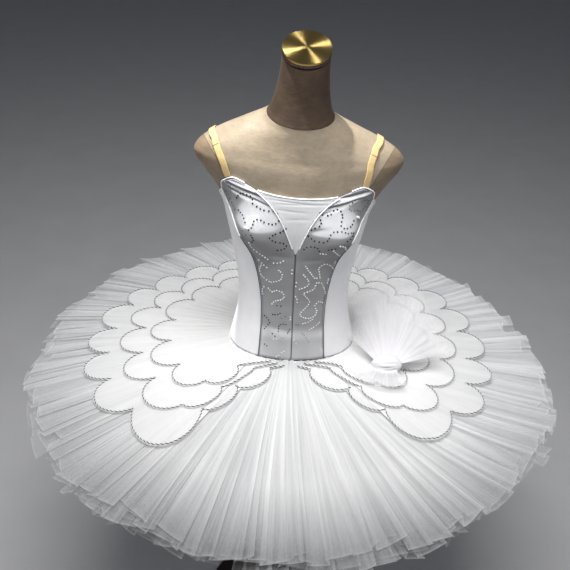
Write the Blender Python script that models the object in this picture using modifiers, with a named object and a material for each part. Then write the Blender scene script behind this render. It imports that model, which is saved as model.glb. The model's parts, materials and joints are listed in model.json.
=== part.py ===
"""Ballet tutu on a limbless dress form.

A pancake tutu of pleated net with a boned satin bodice stands on a form with a
pole and a round foot.  Metres, +Z up, the front faces -Y.  The origin is the
centre of the foot's underside.
"""

import math

import bmesh
import bpy
import numpy as np

for left_over in list(bpy.data.objects):
    bpy.data.objects.remove(left_over)

# ---------------------------------------------------------------- sizes
SKIRT_HEIGHT = 0.84          # top net's plane at the hip above the floor
CLOTH = 0.0012               # wall of the bodice cloth
NET = 0.0012                 # wall of one pair of stiffened nets
OVERLAY = 0.0010             # wall of one scalloped overlay
CLEAR = 0.0020               # inside of the bodice over the figure
SEAM_HALF = 0.15             # half of the gap at a seam, degrees round the figure
BODICE_HEM = 0.0062          # bodice lower edge over the skirt plane
BRIEF_TOP = 0.0045
NET_CLEAR = 0.0042           # ring edges over the figure at the hip

STRAP_WIDTH, STRAP_THICK, STRAP_CLEAR, STRAP_POINTS = 0.0125, 0.0010, 0.0020, 19
CORD_RADIUS = 0.0010         # twisted cord on the overlay edges
BINDING_RADIUS = 0.0013      # rolled binding on the neckline
BRAID_RADIUS = 0.0009

FOOT_RADIUS, FOOT_THICK = 0.19, 0.010
POLE_RADIUS = 0.0125
COLLAR_RADIUS, COLLAR_HEIGHT = 0.026, 0.030
FLANGE_RADIUS, FLANGE_THICK = 0.048, 0.012
FORM_BOTTOM = -0.200         # underside of the form from the skirt plane
CAP_RADIUS, CAP_THICK, CAP_TILT = 0.0432, 0.005, 26.0
CAP_RIM_RADIUS, CAP_RIM_THICK = 0.0430, 0.008
NECK_SWAY = 0.0062           # how far the neck leans to the wearer's left at its top
SHOULDER_DIP = 0.0033        # how far the figure drops at the left of the neck's foot

# The figure, in sections from the hip up to the foot of the neck.  height is
# from the skirt plane; half_width, front and back are the half axes of the
# section; squareness is its exponent; lean is how much the section's plane
# rises towards the back.
FIGURE = [
    # height  half_width front   back    squareness lean
    (-0.200, 0.1420, 0.0930, 0.1070, 0.93, 0.00),
    (-0.160, 0.1490, 0.0970, 0.1140, 0.93, 0.00),
    (-0.120, 0.1520, 0.0990, 0.1190, 0.93, 0.00),
    (-0.070, 0.1490, 0.0990, 0.1180, 0.93, 0.00),
    (-0.030, 0.1370, 0.0960, 0.1080, 0.93, 0.00),
    (0.005, 0.1255, 0.0910, 0.0990, 0.93, 0.00),
    (0.050, 0.1145, 0.0850, 0.0880, 0.93, 0.00),
    (0.085, 0.1080, 0.0810, 0.0800, 0.93, 0.00),
    (0.125, 0.1060, 0.0810, 0.0780, 0.93, 0.00),
    (0.165, 0.1092, 0.0850, 0.0800, 0.93, 0.00),
    (0.200, 0.1142, 0.0890, 0.0840, 0.93, 0.00),
    (0.240, 0.1215, 0.0930, 0.0890, 0.93, 0.00),
    (0.265, 0.1265, 0.0955, 0.0915, 0.93, 0.00),
    (0.290, 0.1315, 0.0965, 0.0940, 0.93, 0.00),
    (0.312, 0.1365, 0.0955, 0.0960, 0.93, 0.00),
    (0.335, 0.1470, 0.0925, 0.0975, 0.94, 0.00),
    (0.357, 0.1610, 0.0885, 0.0980, 0.95, 0.00),
    (0.378, 0.1770, 0.0835, 0.0970, 0.96, 0.01),
    (0.396, 0.1890, 0.0785, 0.0945, 0.98, 0.02),
    (0.406, 0.1915, 0.0750, 0.0918, 1.00, 0.03),
    (0.418, 0.1855, 0.0705, 0.0870, 1.03, 0.06),
    (0.4295, 0.1715, 0.0670, 0.0820, 1.06, 0.09),
    (0.440, 0.1520, 0.0640, 0.0765, 1.09, 0.13),
    (0.449, 0.1310, 0.0615, 0.0710, 1.10, 0.16),
    (0.4585, 0.1080, 0.0590, 0.0660, 1.08, 0.18),
    (0.4675, 0.0850, 0.0570, 0.0620, 1.05, 0.19),
    (0.4755, 0.0690, 0.0550, 0.0580, 1.02, 0.20),
    (0.482, 0.0615, 0.0535, 0.0550, 1.00, 0.20),
]
CUP = dict(around=34.0, height=0.283, wide=20.0, tall=0.040, rise=0.0190)
FORM_CUP_SHARE = 0.46        # the figure fills this much of the cups

# The neck, in tilted rings from its foot to the cap.
NECK = [
    # height  centre_y half_width half_depth lean
    (0.4826, -0.0008, 0.0612, 0.0540, 0.20),
    (0.4920, 0.0006, 0.0556, 0.0511, 0.24),
    (0.5090, 0.0034, 0.0505, 0.0478, 0.31),
    (0.5320, 0.0078, 0.0462, 0.0453, 0.39),
    (0.5600, 0.0125, 0.0434, 0.0436, 0.44),
    (0.5840, 0.0168, 0.0424, 0.0426, 0.4877),
]

# Bodice seams: the angle round the figure (degrees from the centre front) and
# the height of each level, from the hem up to the neckline.
SEAMS = [
    # level     princess      side          back_princess  centre_back
    ("hem", (28.7, 0.000), (90, 0.000), (140, 0.000), (180, 0.000)),
    ("low_hip", (30.2, 0.050), (90, 0.048), (140, 0.040), (180, 0.036)),
    ("waist", (31.7, 0.100), (90, 0.095), (140, 0.080), (180, 0.074)),
    ("rib", (32.7, 0.150), (90, 0.140), (140, 0.118), (180, 0.108)),
    ("under_bust", (34.9, 0.200), (90, 0.184), (140, 0.154), (180, 0.142)),
    ("cup_root", (37.3, 0.238), (90, 0.216), (140, 0.184), (180, 0.168)),
    ("cup_low", (39.4, 0.262), (90, 0.238), (140, 0.206), (180, 0.190)),
    ("apex", (44.6, 0.284), (90, 0.257), (140, 0.224), (180, 0.206)),
    ("cup_side", (52.6, 0.304), (90, 0.274), (140, 0.239), (180, 0.220)),
    ("cup_high", (58.4, 0.322), (90, 0.288), (140, 0.251), (180, 0.231)),
    ("armpit", (59.4, 0.337), (90, 0.300), (140, 0.261), (180, 0.240)),
    ("top", (58.3, 0.349), (90, 0.309), (140, 0.268), (180, 0.246)),
]
# The front panel's inner edge at the same levels: the centre front, then the
# cup's edge from the point of the V; two rows more make the cup's top corner.
FRONT_EDGE = [
    # inner edge     outer edge, where it is above the princess seam
    ((0.0, 0.000), None),
    ((0.0, 0.050), None),
    ((0.0, 0.100), None),
    ((0.0, 0.150), None),
    ((0.0, 0.200), None),
    ((0.0, 0.240), None),
    ((2.2, 0.263), None),
    ((5.2, 0.286), None),
    ((9.2, 0.312), None),
    ((14.2, 0.334), None),
    ((19.6, 0.351), None),
    ((25.0, 0.363), None),
    ((31.5, 0.372), (54.5, 0.360)),
    ((38.5, 0.3775), (48.5, 0.3685)),
]
PLASTRON_LEVELS = range(5, 12)
PLASTRON_DIP = 0.007         # the top edge's dip at the centre front

# Brief: height of the leg line round the figure.
LEG_LINE = [
    # angle  height
    (0, -0.172), (14, -0.166), (28, -0.140), (44, -0.108), (60, -0.084),
    (76, -0.070), (90, -0.066), (106, -0.078), (124, -0.108), (142, -0.142),
    (160, -0.164), (180, -0.170),
]

# Pleated nets, from the top one down.  Drops are below the skirt plane.
NETS = [
    # name       rim     rim_drop hip_drop pleats rise    radial steps
    ("net_1_top", 0.533, 0.0560, 0.0040, 60, 0.0048, (0.0, 1.0)),
    ("net_2", 0.539, 0.0690, 0.0115, 24, 0.0030, (0.0, 1.0)),
    ("net_3", 0.531, 0.0790, 0.0190, 24, 0.0030, (0.0, 1.0)),
    ("net_4", 0.517, 0.0885, 0.0265, 24, 0.0030, (0.0, 1.0)),
    ("net_5", 0.497, 0.0970, 0.0340, 24, 0.0030, (0.0, 1.0)),
    ("net_6", 0.470, 0.1040, 0.0415, 24, 0.0030, (0.0, 1.0)),
]
DROOP = 1.0                  # 1 is a straight cone from the hip to the rim
# Largest waves of the rim: share of the radius, waves round it, turn.
RIM_WAVES = [(0.0055, 5, 0.7), (0.0040, 9, 2.1), (0.0030, 17, 0.2)]

# Scalloped overlays, one side; the other is its mirror.  Each row is the
# point between two scallops (degrees from the front, radius), and how far the
# scallop before it stands out.
OVERLAYS = [
    ("outer", 0.0028, 3, {
        # side: angle, radius, bulge
        1: [
            (7.0, 0.1055, 0.000), (20.0, 0.1180, 0.001), (37.7, 0.1920, 0.030),
            (41.8, 0.2720, 0.026), (58.4, 0.3620, 0.076), (73.8, 0.3670, 0.051),
            (87.0, 0.3690, 0.052), (102.5, 0.3730, 0.050), (116.5, 0.3820, 0.047),
            (129.5, 0.3860, 0.040), (141.5, 0.3720, 0.038), (153.5, 0.3570, 0.036),
            (165.5, 0.3460, 0.035), (176.5, 0.3380, 0.034),
        ],
        -1: [
            (7.0, 0.1055, 0.000), (21.0, 0.1200, 0.001), (33.8, 0.1920, 0.028),
            (36.6, 0.2750, 0.025), (54.0, 0.3660, 0.092), (70.3, 0.3780, 0.052),
            (83.6, 0.3780, 0.052), (96.9, 0.3810, 0.052), (111.3, 0.3840, 0.052),
            (123.0, 0.3710, 0.046), (136.0, 0.3650, 0.040), (149.5, 0.3550, 0.037),
            (163.0, 0.3460, 0.036), (176.5, 0.3380, 0.034),
        ],
    }),
    ("middle", 0.0056, 3, {
        1: [
            (15.0, 0.1035, 0.000), (36.5, 0.1340, 0.000), (43.0, 0.2060, 0.009),
            (48.5, 0.2890, 0.024), (64.9, 0.2980, 0.046), (83.0, 0.3110, 0.042),
            (99.5, 0.3130, 0.041), (115.0, 0.3180, 0.042), (130.5, 0.3130, 0.039),
            (145.5, 0.3070, 0.036), (161.0, 0.3000, 0.036), (176.5, 0.2940, 0.034),
        ],
        -1: [
            (15.0, 0.1035, 0.000), (33.0, 0.1380, 0.001), (38.9, 0.2140, 0.009),
            (43.7, 0.2930, 0.025), (63.2, 0.2970, 0.050), (80.2, 0.3090, 0.051),
            (96.7, 0.3140, 0.051), (111.5, 0.3140, 0.051), (126.0, 0.3060, 0.044),
            (142.0, 0.3030, 0.039), (159.0, 0.2980, 0.037), (176.5, 0.2940, 0.034),
        ],
    }),
    ("inner", 0.0084, 3, {
        1: [
            (26.0, 0.1080, 0.000), (36.0, 0.1195, 0.000), (45.0, 0.1470, 0.000), (50.9, 0.2190, 0.018),
            (68.0, 0.2390, 0.037), (87.5, 0.2500, 0.049), (106.5, 0.2600, 0.043),
            (126.0, 0.2680, 0.039), (143.5, 0.2610, 0.034), (160.5, 0.2540, 0.032),
            (176.5, 0.2480, 0.030),
        ],
        -1: [
            (22.0, 0.1065, 0.000), (32.0, 0.1220, 0.000), (43.6, 0.1550, 0.000),
            (47.7, 0.2240, 0.027), (65.8, 0.2430, 0.041), (85.3, 0.2520, 0.050),
            (102.6, 0.2570, 0.048), (122.2, 0.2590, 0.043), (139.5, 0.2570, 0.032),
            (158.0, 0.2530, 0.032), (176.5, 0.2480, 0.030),
        ],
    }),
]
CORD_INSET = 0.0022

# Hip bow: a gathered fan, its knot and a short tail.
KNOT = dict(x=0.188, y=-0.107, lift=0.0215, half=(0.030, 0.019, 0.017))
ROOT_GAP = 0.0012            # between the knot and the gathered net
FAN = dict(heading=14.0, spread=62.0, length=0.160, rays=15, rise=0.004)
# Across the fan, from its left ray (-1) to its right (1): how long and how high a ray is.
FAN_EDGE = [(-1, 0.42), (-0.8, 0.52), (-0.6, 0.80), (-0.4, 0.93), (-0.2, 1.0), (0.0, 0.98),
          (0.2, 0.88), (0.4, 0.74), (0.6, 0.68), (0.8, 0.66), (1, 0.64)]
FAN_CROWN = [(-1, 0.022), (-0.8, 0.044), (-0.6, 0.072), (-0.4, 0.086), (-0.2, 0.090),
           (0.0, 0.088), (0.2, 0.080), (0.4, 0.066), (0.6, 0.048), (0.8, 0.030), (1, 0.012)]
FAN_STEPS = [(0.0, 0.0), (0.30, 0.35), (0.65, 0.72), (1.0, 1.0)]   # along, share of the height
TAIL = dict(heading=204.0, spread=58.0, length=0.040, rays=9, rise=0.0018)
TAIL_EDGE, TAIL_CROWN = [(-1, 0.9), (1, 0.9)], [(-1, -0.0110), (1, -0.0110)]
TAIL_STEPS = [(0.0, 0.0), (0.50, 0.40), (1.0, 1.0)]

# Straps: angle round the figure and height, from the cup over the shoulder.
STRAPS = {
    # side: (angle, height)
    1: [(41.2, 0.3790), (40.2, 0.3925), (40.8, 0.4060), (43.5, 0.4180),
        (52.0, 0.4310), (67.0, 0.4410), (88.0, 0.4435), (107.0, 0.4395),
        (123.0, 0.4250), (132.5, 0.4040), (137.0, 0.3800), (139.5, 0.3450),
        (141.0, 0.3100), (142.0, 0.2745)],
    -1: [(43.4, 0.3790), (43.2, 0.3925), (44.6, 0.4050), (49.0, 0.4160),
         (58.0, 0.4275), (72.0, 0.4360), (88.0, 0.4375), (105.0, 0.4340),
         (121.0, 0.4205), (131.5, 0.4020), (137.0, 0.3790), (139.5, 0.3450),
         (141.0, 0.3100), (142.0, 0.2745)],
}

# Arm covers: the oblique plane that ends the figure at each shoulder.
ARM_PLANE = dict(x=0.1375, z=0.360, slope=0.50, turn=0.30, underside=0.323)


# ---------------------------------------------------------------- geometry
def column(table, index):
    return np.array([row[index] for row in table], float)


def smooth(xs, ys, x):
    """Cubic through the rows of a table that doesn't overshoot them."""
    x = float(min(max(x, xs[0]), xs[-1]))
    step = np.diff(ys) / np.diff(xs)
    slope = np.zeros(len(xs))
    slope[0], slope[-1] = step[0], step[-1]
    for i in range(1, len(xs) - 1):
        if step[i - 1] * step[i] > 0:
            slope[i] = 2 * step[i - 1] * step[i] / (step[i - 1] + step[i])
    i = int(min(np.searchsorted(xs, x, side="right") - 1, len(xs) - 2))
    h = xs[i + 1] - xs[i]
    t = (x - xs[i]) / h
    return ((2 * t**3 - 3 * t**2 + 1) * ys[i] + (t**3 - 2 * t**2 + t) * h * slope[i]
            + (-2 * t**3 + 3 * t**2) * ys[i + 1] + (t**3 - t**2) * h * slope[i + 1])


HEIGHTS = column(FIGURE, 0)


def section(height):
    return [smooth(HEIGHTS, column(FIGURE, i), height) for i in range(1, 6)]


def figure(angle, height, off=0.0, cups=1.0):
    """Point over the figure, off outside it; the angle grows from the front to +X."""
    half_width, front, back, square, lean = section(height)
    a = math.radians(angle)
    s, c = math.sin(a), math.cos(a)
    depth = front if c > 0 else back
    x = (half_width + off) * math.copysign(abs(s) ** square, s)
    y = -(depth + off) * math.copysign(abs(c) ** square, c)
    away = (abs((angle + 180) % 360 - 180) - CUP["around"]) / CUP["wide"]
    up = (height - CUP["height"]) / CUP["tall"]
    bulge = cups * CUP["rise"] * math.exp(-(away**2) - up**2)
    return np.array([x + bulge * s, y - bulge * c, height + lean * y + SKIRT_HEIGHT])


def normal_at(angle, height, off):
    d = 0.5
    across = figure(angle + d, height, off) - figure(angle - d, height, off)
    up = figure(angle, height + 0.002, off) - figure(angle, height - 0.002, off)
    n = np.cross(across, up)
    return n / np.linalg.norm(n)


def hip_radius(azimuth, drop=NETS[0][3]):
    """Plan radius of a ring's edge over the figure, drop below the skirt plane."""
    half_width, front, back, square, _ = section(-drop - 0.003)
    a = math.radians(azimuth)
    s, c = abs(math.sin(a)), math.cos(a)
    wide = half_width + NET_CLEAR
    deep = (front if c > 0 else back) + NET_CLEAR
    return ((s / wide) ** (2 / square) + (abs(c) / deep) ** (2 / square)) ** (-square / 2)


def net_surface(azimuth, share, net):
    """Height and radius on a net's mean surface; share is 0 at the hip and 1 at the rim."""
    _, rim, rim_drop, hip_drop, _, _, _ = net
    a = math.radians(azimuth)
    wave = sum(size * math.sin(count * a + turn) for size, count, turn in RIM_WAVES)
    inner = hip_radius(azimuth, hip_drop)
    radius = inner + (rim * (1 + wave) - inner) * share
    drop = hip_drop + (rim_drop - hip_drop) * share**DROOP
    return radius, SKIRT_HEIGHT - drop


def plan(azimuth, radius):
    a = math.radians(azimuth)
    return np.array([radius * math.sin(a), -radius * math.cos(a)])


def over_top_net(x, y, lift):
    """A point lift above the crests of the top net's pleats."""
    net = NETS[0]
    azimuth = math.degrees(math.atan2(x, -y))
    inner = hip_radius(azimuth)
    share = (math.hypot(x, y) - inner) / (net[1] - inner)
    share = min(max(share, 0.0), 1.0)
    drop = net[3] + (net[2] - net[3]) * share**DROOP
    return np.array([x, y, SKIRT_HEIGHT - drop + net[5] * share + lift])


# ---------------------------------------------------------------- objects
collection = bpy.data.collections.new("ballet_tutu")
bpy.context.scene.collection.children.link(collection)
cutters = bpy.data.collections.new("cutters")
bpy.context.scene.collection.children.link(cutters)
stand_point = bpy.data.objects.new("stand_point", None)
collection.objects.link(stand_point)

MATERIALS = {
    # name            colour               roughness metallic
    "white_net": ((0.90, 0.91, 0.92, 1), 0.70, 0.0),
    "overlay_net": ((0.94, 0.94, 0.96, 1), 0.65, 0.0),
    "silver_satin": ((0.56, 0.57, 0.62, 1), 0.35, 0.1),
    "white_satin": ((0.80, 0.80, 0.85, 1), 0.45, 0.0),
    "white_binding": ((0.88, 0.88, 0.92, 1), 0.50, 0.0),
    "dark_braid": ((0.20, 0.20, 0.23, 1), 0.45, 0.3),
    "gold_elastic": ((0.78, 0.60, 0.28, 1), 0.40, 0.1),
    "form_satin": ((0.52, 0.45, 0.35, 1), 0.40, 0.0),
    "arm_cover": ((0.36, 0.30, 0.23, 1), 0.50, 0.0),
    "brushed_gold": ((0.83, 0.60, 0.20, 1), 0.25, 1.0),
    "dark_rim": ((0.06, 0.02, 0.02, 1), 0.35, 0.0),
    "dark_metal": ((0.03, 0.025, 0.025, 1), 0.35, 0.8),
}


def material(name):
    found = bpy.data.materials.get(name)
    if found:
        return found
    colour, roughness, metallic = MATERIALS[name]
    made = bpy.data.materials.new(name)
    made.use_nodes = True
    shader = made.node_tree.nodes["Principled BSDF"]
    shader.inputs["Base Color"].default_value = colour
    shader.inputs["Roughness"].default_value = roughness
    shader.inputs["Metallic"].default_value = metallic
    made.diffuse_color = colour
    return made


def place(name, data, slot, where=collection):
    made = bpy.data.objects.new(name, data)
    where.objects.link(made)
    if slot:
        data.materials.append(material(slot))
    made.parent = stand_point
    return made


def cloth(name, rows, thickness, slot, closed=False):
    """A sheet through rows of points, given a wall on its facing side."""
    across, mesh = len(rows[0]), bmesh.new()
    grid = [[mesh.verts.new(p) for p in row] for row in rows]
    for low, high in zip(grid, grid[1:]):
        for j in range(across if closed else across - 1):
            k = (j + 1) % across
            mesh.faces.new((low[j], low[k], high[k], high[j]))
    data = bpy.data.meshes.new(name)
    mesh.to_mesh(data)
    mesh.free()
    made = place(name, data, slot)
    wall = made.modifiers.new("wall", "SOLIDIFY")
    wall.thickness, wall.offset = thickness, 1.0
    wall.use_even_offset = False
    return made


def loft(name, rings, slot):
    """A closed body through rings of points, flat at both ends."""
    mesh = bmesh.new()
    grid = [[mesh.verts.new(p) for p in ring] for ring in rings]
    count = len(rings[0])
    for low, high in zip(grid, grid[1:]):
        for j in range(count):
            k = (j + 1) % count
            mesh.faces.new((low[j], low[k], high[k], high[j]))
    mesh.faces.new(list(reversed(grid[0])))
    mesh.faces.new(grid[-1])
    data = bpy.data.meshes.new(name)
    mesh.to_mesh(data)
    mesh.free()
    data.shade_smooth()
    return place(name, data, slot)


def tube(name, points, radius, slot, sides=0):
    """A cord along the points, with closed ends."""
    curve = bpy.data.curves.new(name, "CURVE")
    curve.dimensions = "3D"
    line = curve.splines.new("POLY")
    line.points.add(len(points) - 1)
    for spot, p in zip(line.points, points):
        spot.co = (*p, 1.0)
    curve.bevel_depth, curve.bevel_resolution = radius, sides
    curve.use_fill_caps = True
    return place(name, curve, slot)


def turned(name, profile, steps, slot):
    """A turned body from its outline, listed from the top centre down."""
    mesh = bmesh.new()
    spots = [mesh.verts.new((x, 0, z)) for x, z in profile]
    for a, b in zip(spots, spots[1:]):
        mesh.edges.new((a, b))
    data = bpy.data.meshes.new(name)
    mesh.to_mesh(data)
    mesh.free()
    made = place(name, data, slot)
    screw = made.modifiers.new("turn", "SCREW")
    screw.steps = screw.render_steps = steps
    screw.use_merge_vertices, screw.merge_threshold = True, 0.0001
    return made


def mirrored(points):
    """The same row on the other side, in the order that keeps its facing."""
    return [np.array([-p[0], p[1], p[2]]) for p in reversed(points)]


# ---------------------------------------------------------------- dress form
FORM_COLUMNS = 36


def form_ring(height):
    return [figure(360 * j / FORM_COLUMNS, height, cups=FORM_CUP_SHARE)
            for j in range(FORM_COLUMNS)]


torso = loft("form_torso", [form_ring(row[0]) for row in FIGURE], "form_satin")

ARM_GAP = 0.0004
TURN = math.atan(ARM_PLANE["turn"])
LEAN = math.atan(ARM_PLANE["slope"] * math.cos(TURN))


def arm_block(name, side, gap):
    """A block outside the arm plane and above the underside of the shoulder."""
    mesh = bmesh.new()
    bmesh.ops.create_cube(mesh, size=1.0)
    for corner in mesh.verts:
        corner.co.x = side * (gap + (0.2 if corner.co.x * side > 0 else 0.0))
        corner.co.y *= 0.4
        corner.co.z = gap + (0.3 if corner.co.z > 0 else 0.0)
    data = bpy.data.meshes.new(name)
    mesh.to_mesh(data)
    mesh.free()
    block = place(name, data, None, cutters)
    height = ARM_PLANE["underside"]
    x = ARM_PLANE["x"] + ARM_PLANE["slope"] * (height - ARM_PLANE["z"])
    block.location = (side * x, 0.0, height + SKIRT_HEIGHT)
    block.rotation_euler = (0.0, side * LEAN, -side * TURN)
    block.hide_render = True
    block.display_type = "WIRE"
    return block


for side, word in ((-1, "right"), (1, "left")):
    cover = place("form_arm_cover_" + word, torso.data.copy(), None)
    cover.data.materials.clear()
    cover.data.materials.append(material("arm_cover"))
    kept = cover.modifiers.new("kept", "BOOLEAN")
    kept.operation, kept.object = "INTERSECT", arm_block("arm_kept_" + word, side, ARM_GAP)
    cut = torso.modifiers.new("arm_" + word, "BOOLEAN")
    cut.operation, cut.object = "DIFFERENCE", arm_block("arm_cut_" + word, side, 0.0)

NECK_COLUMNS = 28
rings = []
for height, centre, half_width, half_depth, lean in NECK:
    ring = []
    sway = NECK_SWAY * (height - NECK[0][0]) / (NECK[-1][0] - NECK[0][0])
    for j in range(NECK_COLUMNS):
        a = 2 * math.pi * j / NECK_COLUMNS
        x, y = sway + half_width * math.sin(a), centre - half_depth * math.cos(a)
        ring.append((x, y, height + lean * (y - centre) + SKIRT_HEIGHT))
    rings.append(ring)
loft("form_neck", rings, "form_satin")

top_height, top_centre = NECK[-1][0], NECK[-1][1]
up = np.array([0.0, -math.sin(math.radians(CAP_TILT)), math.cos(math.radians(CAP_TILT))])
neck_end = np.array([NECK_SWAY, top_centre, top_height + SKIRT_HEIGHT])
for name, radius, thick, soft, rise, slot in (
    ("neck_cap_rim", CAP_RIM_RADIUS, CAP_RIM_THICK, 0.0010, 0.0004, "dark_rim"),
    ("neck_cap", CAP_RADIUS, CAP_THICK, 0.0016, 0.0008 + CAP_RIM_THICK, "brushed_gold"),
):
    disc = turned(name, [
        (0.0, thick), (radius - soft, thick), (radius, thick - soft),
        (radius, 0.0), (0.0, 0.0)], 32, slot)
    disc.location = neck_end + up * rise
    disc.rotation_euler = (math.radians(CAP_TILT), 0.0, 0.0)

# ---------------------------------------------------------------- stand
turned("stand_foot", [
    (0.0, FOOT_THICK), (0.07, FOOT_THICK), (FOOT_RADIUS - 0.012, FOOT_THICK - 0.003),
    (FOOT_RADIUS - 0.003, FOOT_THICK - 0.0055), (FOOT_RADIUS, 0.0030),
    (FOOT_RADIUS, 0.0), (0.0, 0.0)], 48, "dark_metal")
collar_base = FOOT_THICK + 0.0004
collar = turned("stand_collar", [
    (0.0, COLLAR_HEIGHT), (POLE_RADIUS + 0.004, COLLAR_HEIGHT),
    (POLE_RADIUS + 0.007, COLLAR_HEIGHT - 0.003), (POLE_RADIUS + 0.008, 0.008),
    (COLLAR_RADIUS, 0.004), (COLLAR_RADIUS, 0.0), (0.0, 0.0)], 24, "dark_metal")
collar.location = (0.0, 0.0, collar_base)
pole_base = collar_base + COLLAR_HEIGHT + 0.0004
flange_top = SKIRT_HEIGHT + FORM_BOTTOM - 0.0004
pole_top = flange_top - FLANGE_THICK - 0.0004
pole = turned("stand_pole", [
    (0.0, pole_top - pole_base), (POLE_RADIUS, pole_top - pole_base),
    (POLE_RADIUS, 0.0), (0.0, 0.0)], 24, "dark_metal")
pole.location = (0.0, 0.0, pole_base)
flange = turned("form_flange", [
    (0.0, FLANGE_THICK), (FLANGE_RADIUS, FLANGE_THICK), (FLANGE_RADIUS, 0.006),
    (0.020, 0.003), (0.018, 0.0), (0.0, 0.0)], 24, "dark_metal")
flange.location = (0.0, 0.0, flange_top - FLANGE_THICK)

# ---------------------------------------------------------------- bodice


def panel(name, edges, columns, slot, side=1, off=CLEAR):
    """A panel between two edges, each a list of (angle, height) level by level."""
    rows = []
    for (a0, h0), (a1, h1) in zip(*edges):
        row = []
        for j in range(columns + 1):
            t = j / columns
            angle, height = a0 + (a1 - a0) * t, h0 + (h1 - h0) * t
            row.append(figure(angle, max(height, BODICE_HEM), off))
        rows.append(row if side > 0 else mirrored(row))
    return cloth(name, rows, CLOTH, slot)


def edge(index, shift):
    return [(row[index][0] + shift, row[index][1]) for row in SEAMS]


inner = [(a + SEAM_HALF, h) for (a, h), _ in FRONT_EDGE]
outer = edge(1, -SEAM_HALF) + [(a, h) for _, (a, h) in
                               [row for row in FRONT_EDGE if row[1]]]
seams = [edge(i, 0.0) for i in (1, 2, 3, 4)]
for side, word in ((1, "left"), (-1, "right")):
    panel("bodice_front_" + word, (inner, outer), 5, "silver_satin", side)
    panel("bodice_side_front_" + word, (edge(1, SEAM_HALF), edge(2, -SEAM_HALF)), 4,
          "white_satin", side)
    panel("bodice_side_back_" + word, (edge(2, SEAM_HALF), edge(3, -SEAM_HALF)), 4,
          "white_satin", side)
    panel("bodice_back_" + word, (edge(3, SEAM_HALF), edge(4, -SEAM_HALF)), 3,
          "white_satin", side)

# The plastron fills the V between the cups; its edges stop short of theirs.
rows = []
levels = [FRONT_EDGE[i][0] for i in PLASTRON_LEVELS]
levels[0] = (0.9, 0.2500)
for k, (angle, height) in enumerate(levels):
    half = angle - 2 * SEAM_HALF if k else 0.45
    dip = PLASTRON_DIP * (k / (len(levels) - 1)) ** 3
    rows.append([figure(half * t, height - dip * (1 - t * t), CLEAR)
                 for t in (-1, -0.6, -0.2, 0.2, 0.6, 1)])
cloth("bodice_plastron", rows, CLOTH, "white_satin")
plastron_top = [(half * t, levels[-1][1] - PLASTRON_DIP * (1 - t * t))
                for t in (-0.93, -0.6, -0.2, 0.2, 0.6, 0.93)]

# Back placket, laid over the centre back from the panels' own levels.
placket_rows = []
for k in (1, 3, 5, 7, 9, 11):
    height = SEAMS[k][4][1]
    placket_rows.append([figure(180 + d, height - 0.0005, CLEAR + CLOTH + 0.0006)
                         for d in (-5.0, 0.0, 5.0)])
cloth("back_placket", placket_rows, 0.0010, "white_satin")

# Rolled binding on the neckline, piping round the cups, braid down the seams.
middle = CLEAR + CLOTH / 2
lift = BINDING_RADIUS + 0.0007
over = CLEAR + CLOTH + 0.0004
top = SEAMS[-1]
corner = [pair for _, pair in FRONT_EDGE if pair]
neckline = [(178.8, top[4][1])]
for (a0, h0), (a1, h1) in ((top[4], top[3]), (top[3], top[2]), (top[2], top[1])):
    neckline += [(a0 + (a1 - a0) * t, h0 + (h1 - h0) * t) for t in (0.25, 0.5, 0.75, 1)]
neckline += corner + [FRONT_EDGE[-1][0], FRONT_EDGE[-2][0]]
cup_edge = [row[0] for row in FRONT_EDGE[6:12]]
for side, word in ((1, "left"), (-1, "right")):
    path = [figure(a, h + lift, middle) for a, h in neckline]
    tube("neck_binding_" + word, [(side * p[0], p[1], p[2]) for p in path],
         BINDING_RADIUS, "white_binding")
    path = [figure(a, h, over + BINDING_RADIUS) for a, h in cup_edge]
    tube("cup_piping_" + word, [(side * p[0], p[1], p[2]) for p in path],
         BINDING_RADIUS, "white_binding")
    path = [figure(a, max(h, BODICE_HEM + 0.001), over + BRAID_RADIUS)
            for a, h in edge(1, 0.0)]
    tube("seam_braid_" + word, [(side * p[0], p[1], p[2]) for p in path],
         BRAID_RADIUS, "dark_braid")
path = [figure(a, h + lift, middle) for a, h in plastron_top]
tube("plastron_binding", path, BINDING_RADIUS, "white_binding")


def strap(name, side):
    """An elastic strap along its route, square to the figure and just off it."""
    route = STRAPS[side]
    stops = np.arange(len(route), dtype=float)
    spots, outward = [], []
    for i in range(STRAP_POINTS):
        t = i * (len(route) - 1) / (STRAP_POINTS - 1)
        angle = smooth(stops, column(route, 0), t)
        height = smooth(stops, column(route, 1), t)
        outward.append(normal_at(angle, height, 0.0))
        spots.append(figure(angle, height) + outward[-1] * STRAP_CLEAR)
    rows = []
    for i, (spot, n) in enumerate(zip(spots, outward)):
        along = spots[min(i + 1, len(spots) - 1)] - spots[max(i - 1, 0)]
        across = np.cross(n, along / np.linalg.norm(along))
        across /= np.linalg.norm(across)
        row = [spot + across * STRAP_WIDTH * t for t in (0.5, 0.0, -0.5)]
        rows.append(row if side > 0 else mirrored(row))
    return cloth(name, rows, STRAP_THICK, "gold_elastic")


strap("strap_left", 1)
strap("strap_right", -1)

# ---------------------------------------------------------------- brief
BRIEF_COLUMNS, BRIEF_ROWS = 7, 5


def brief(name, first, last):
    rows = []
    for k in range(BRIEF_ROWS + 1):
        row = []
        for j in range(2 * BRIEF_COLUMNS + 1):
            angle = first + (last - first) * j / (2 * BRIEF_COLUMNS)
            turn = abs((angle + 180) % 360 - 180)
            leg = smooth(column(LEG_LINE, 0), column(LEG_LINE, 1), turn)
            height = BRIEF_TOP + (leg - BRIEF_TOP) * (1 - k / BRIEF_ROWS)
            row.append(figure(angle, height, CLEAR + 0.0003))
        rows.append(row)
    return cloth(name, rows, CLOTH, "white_satin")


brief("brief_front", -90 + SEAM_HALF, 90 - SEAM_HALF)
brief("brief_back", 90 + SEAM_HALF, 270 - SEAM_HALF)

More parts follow.
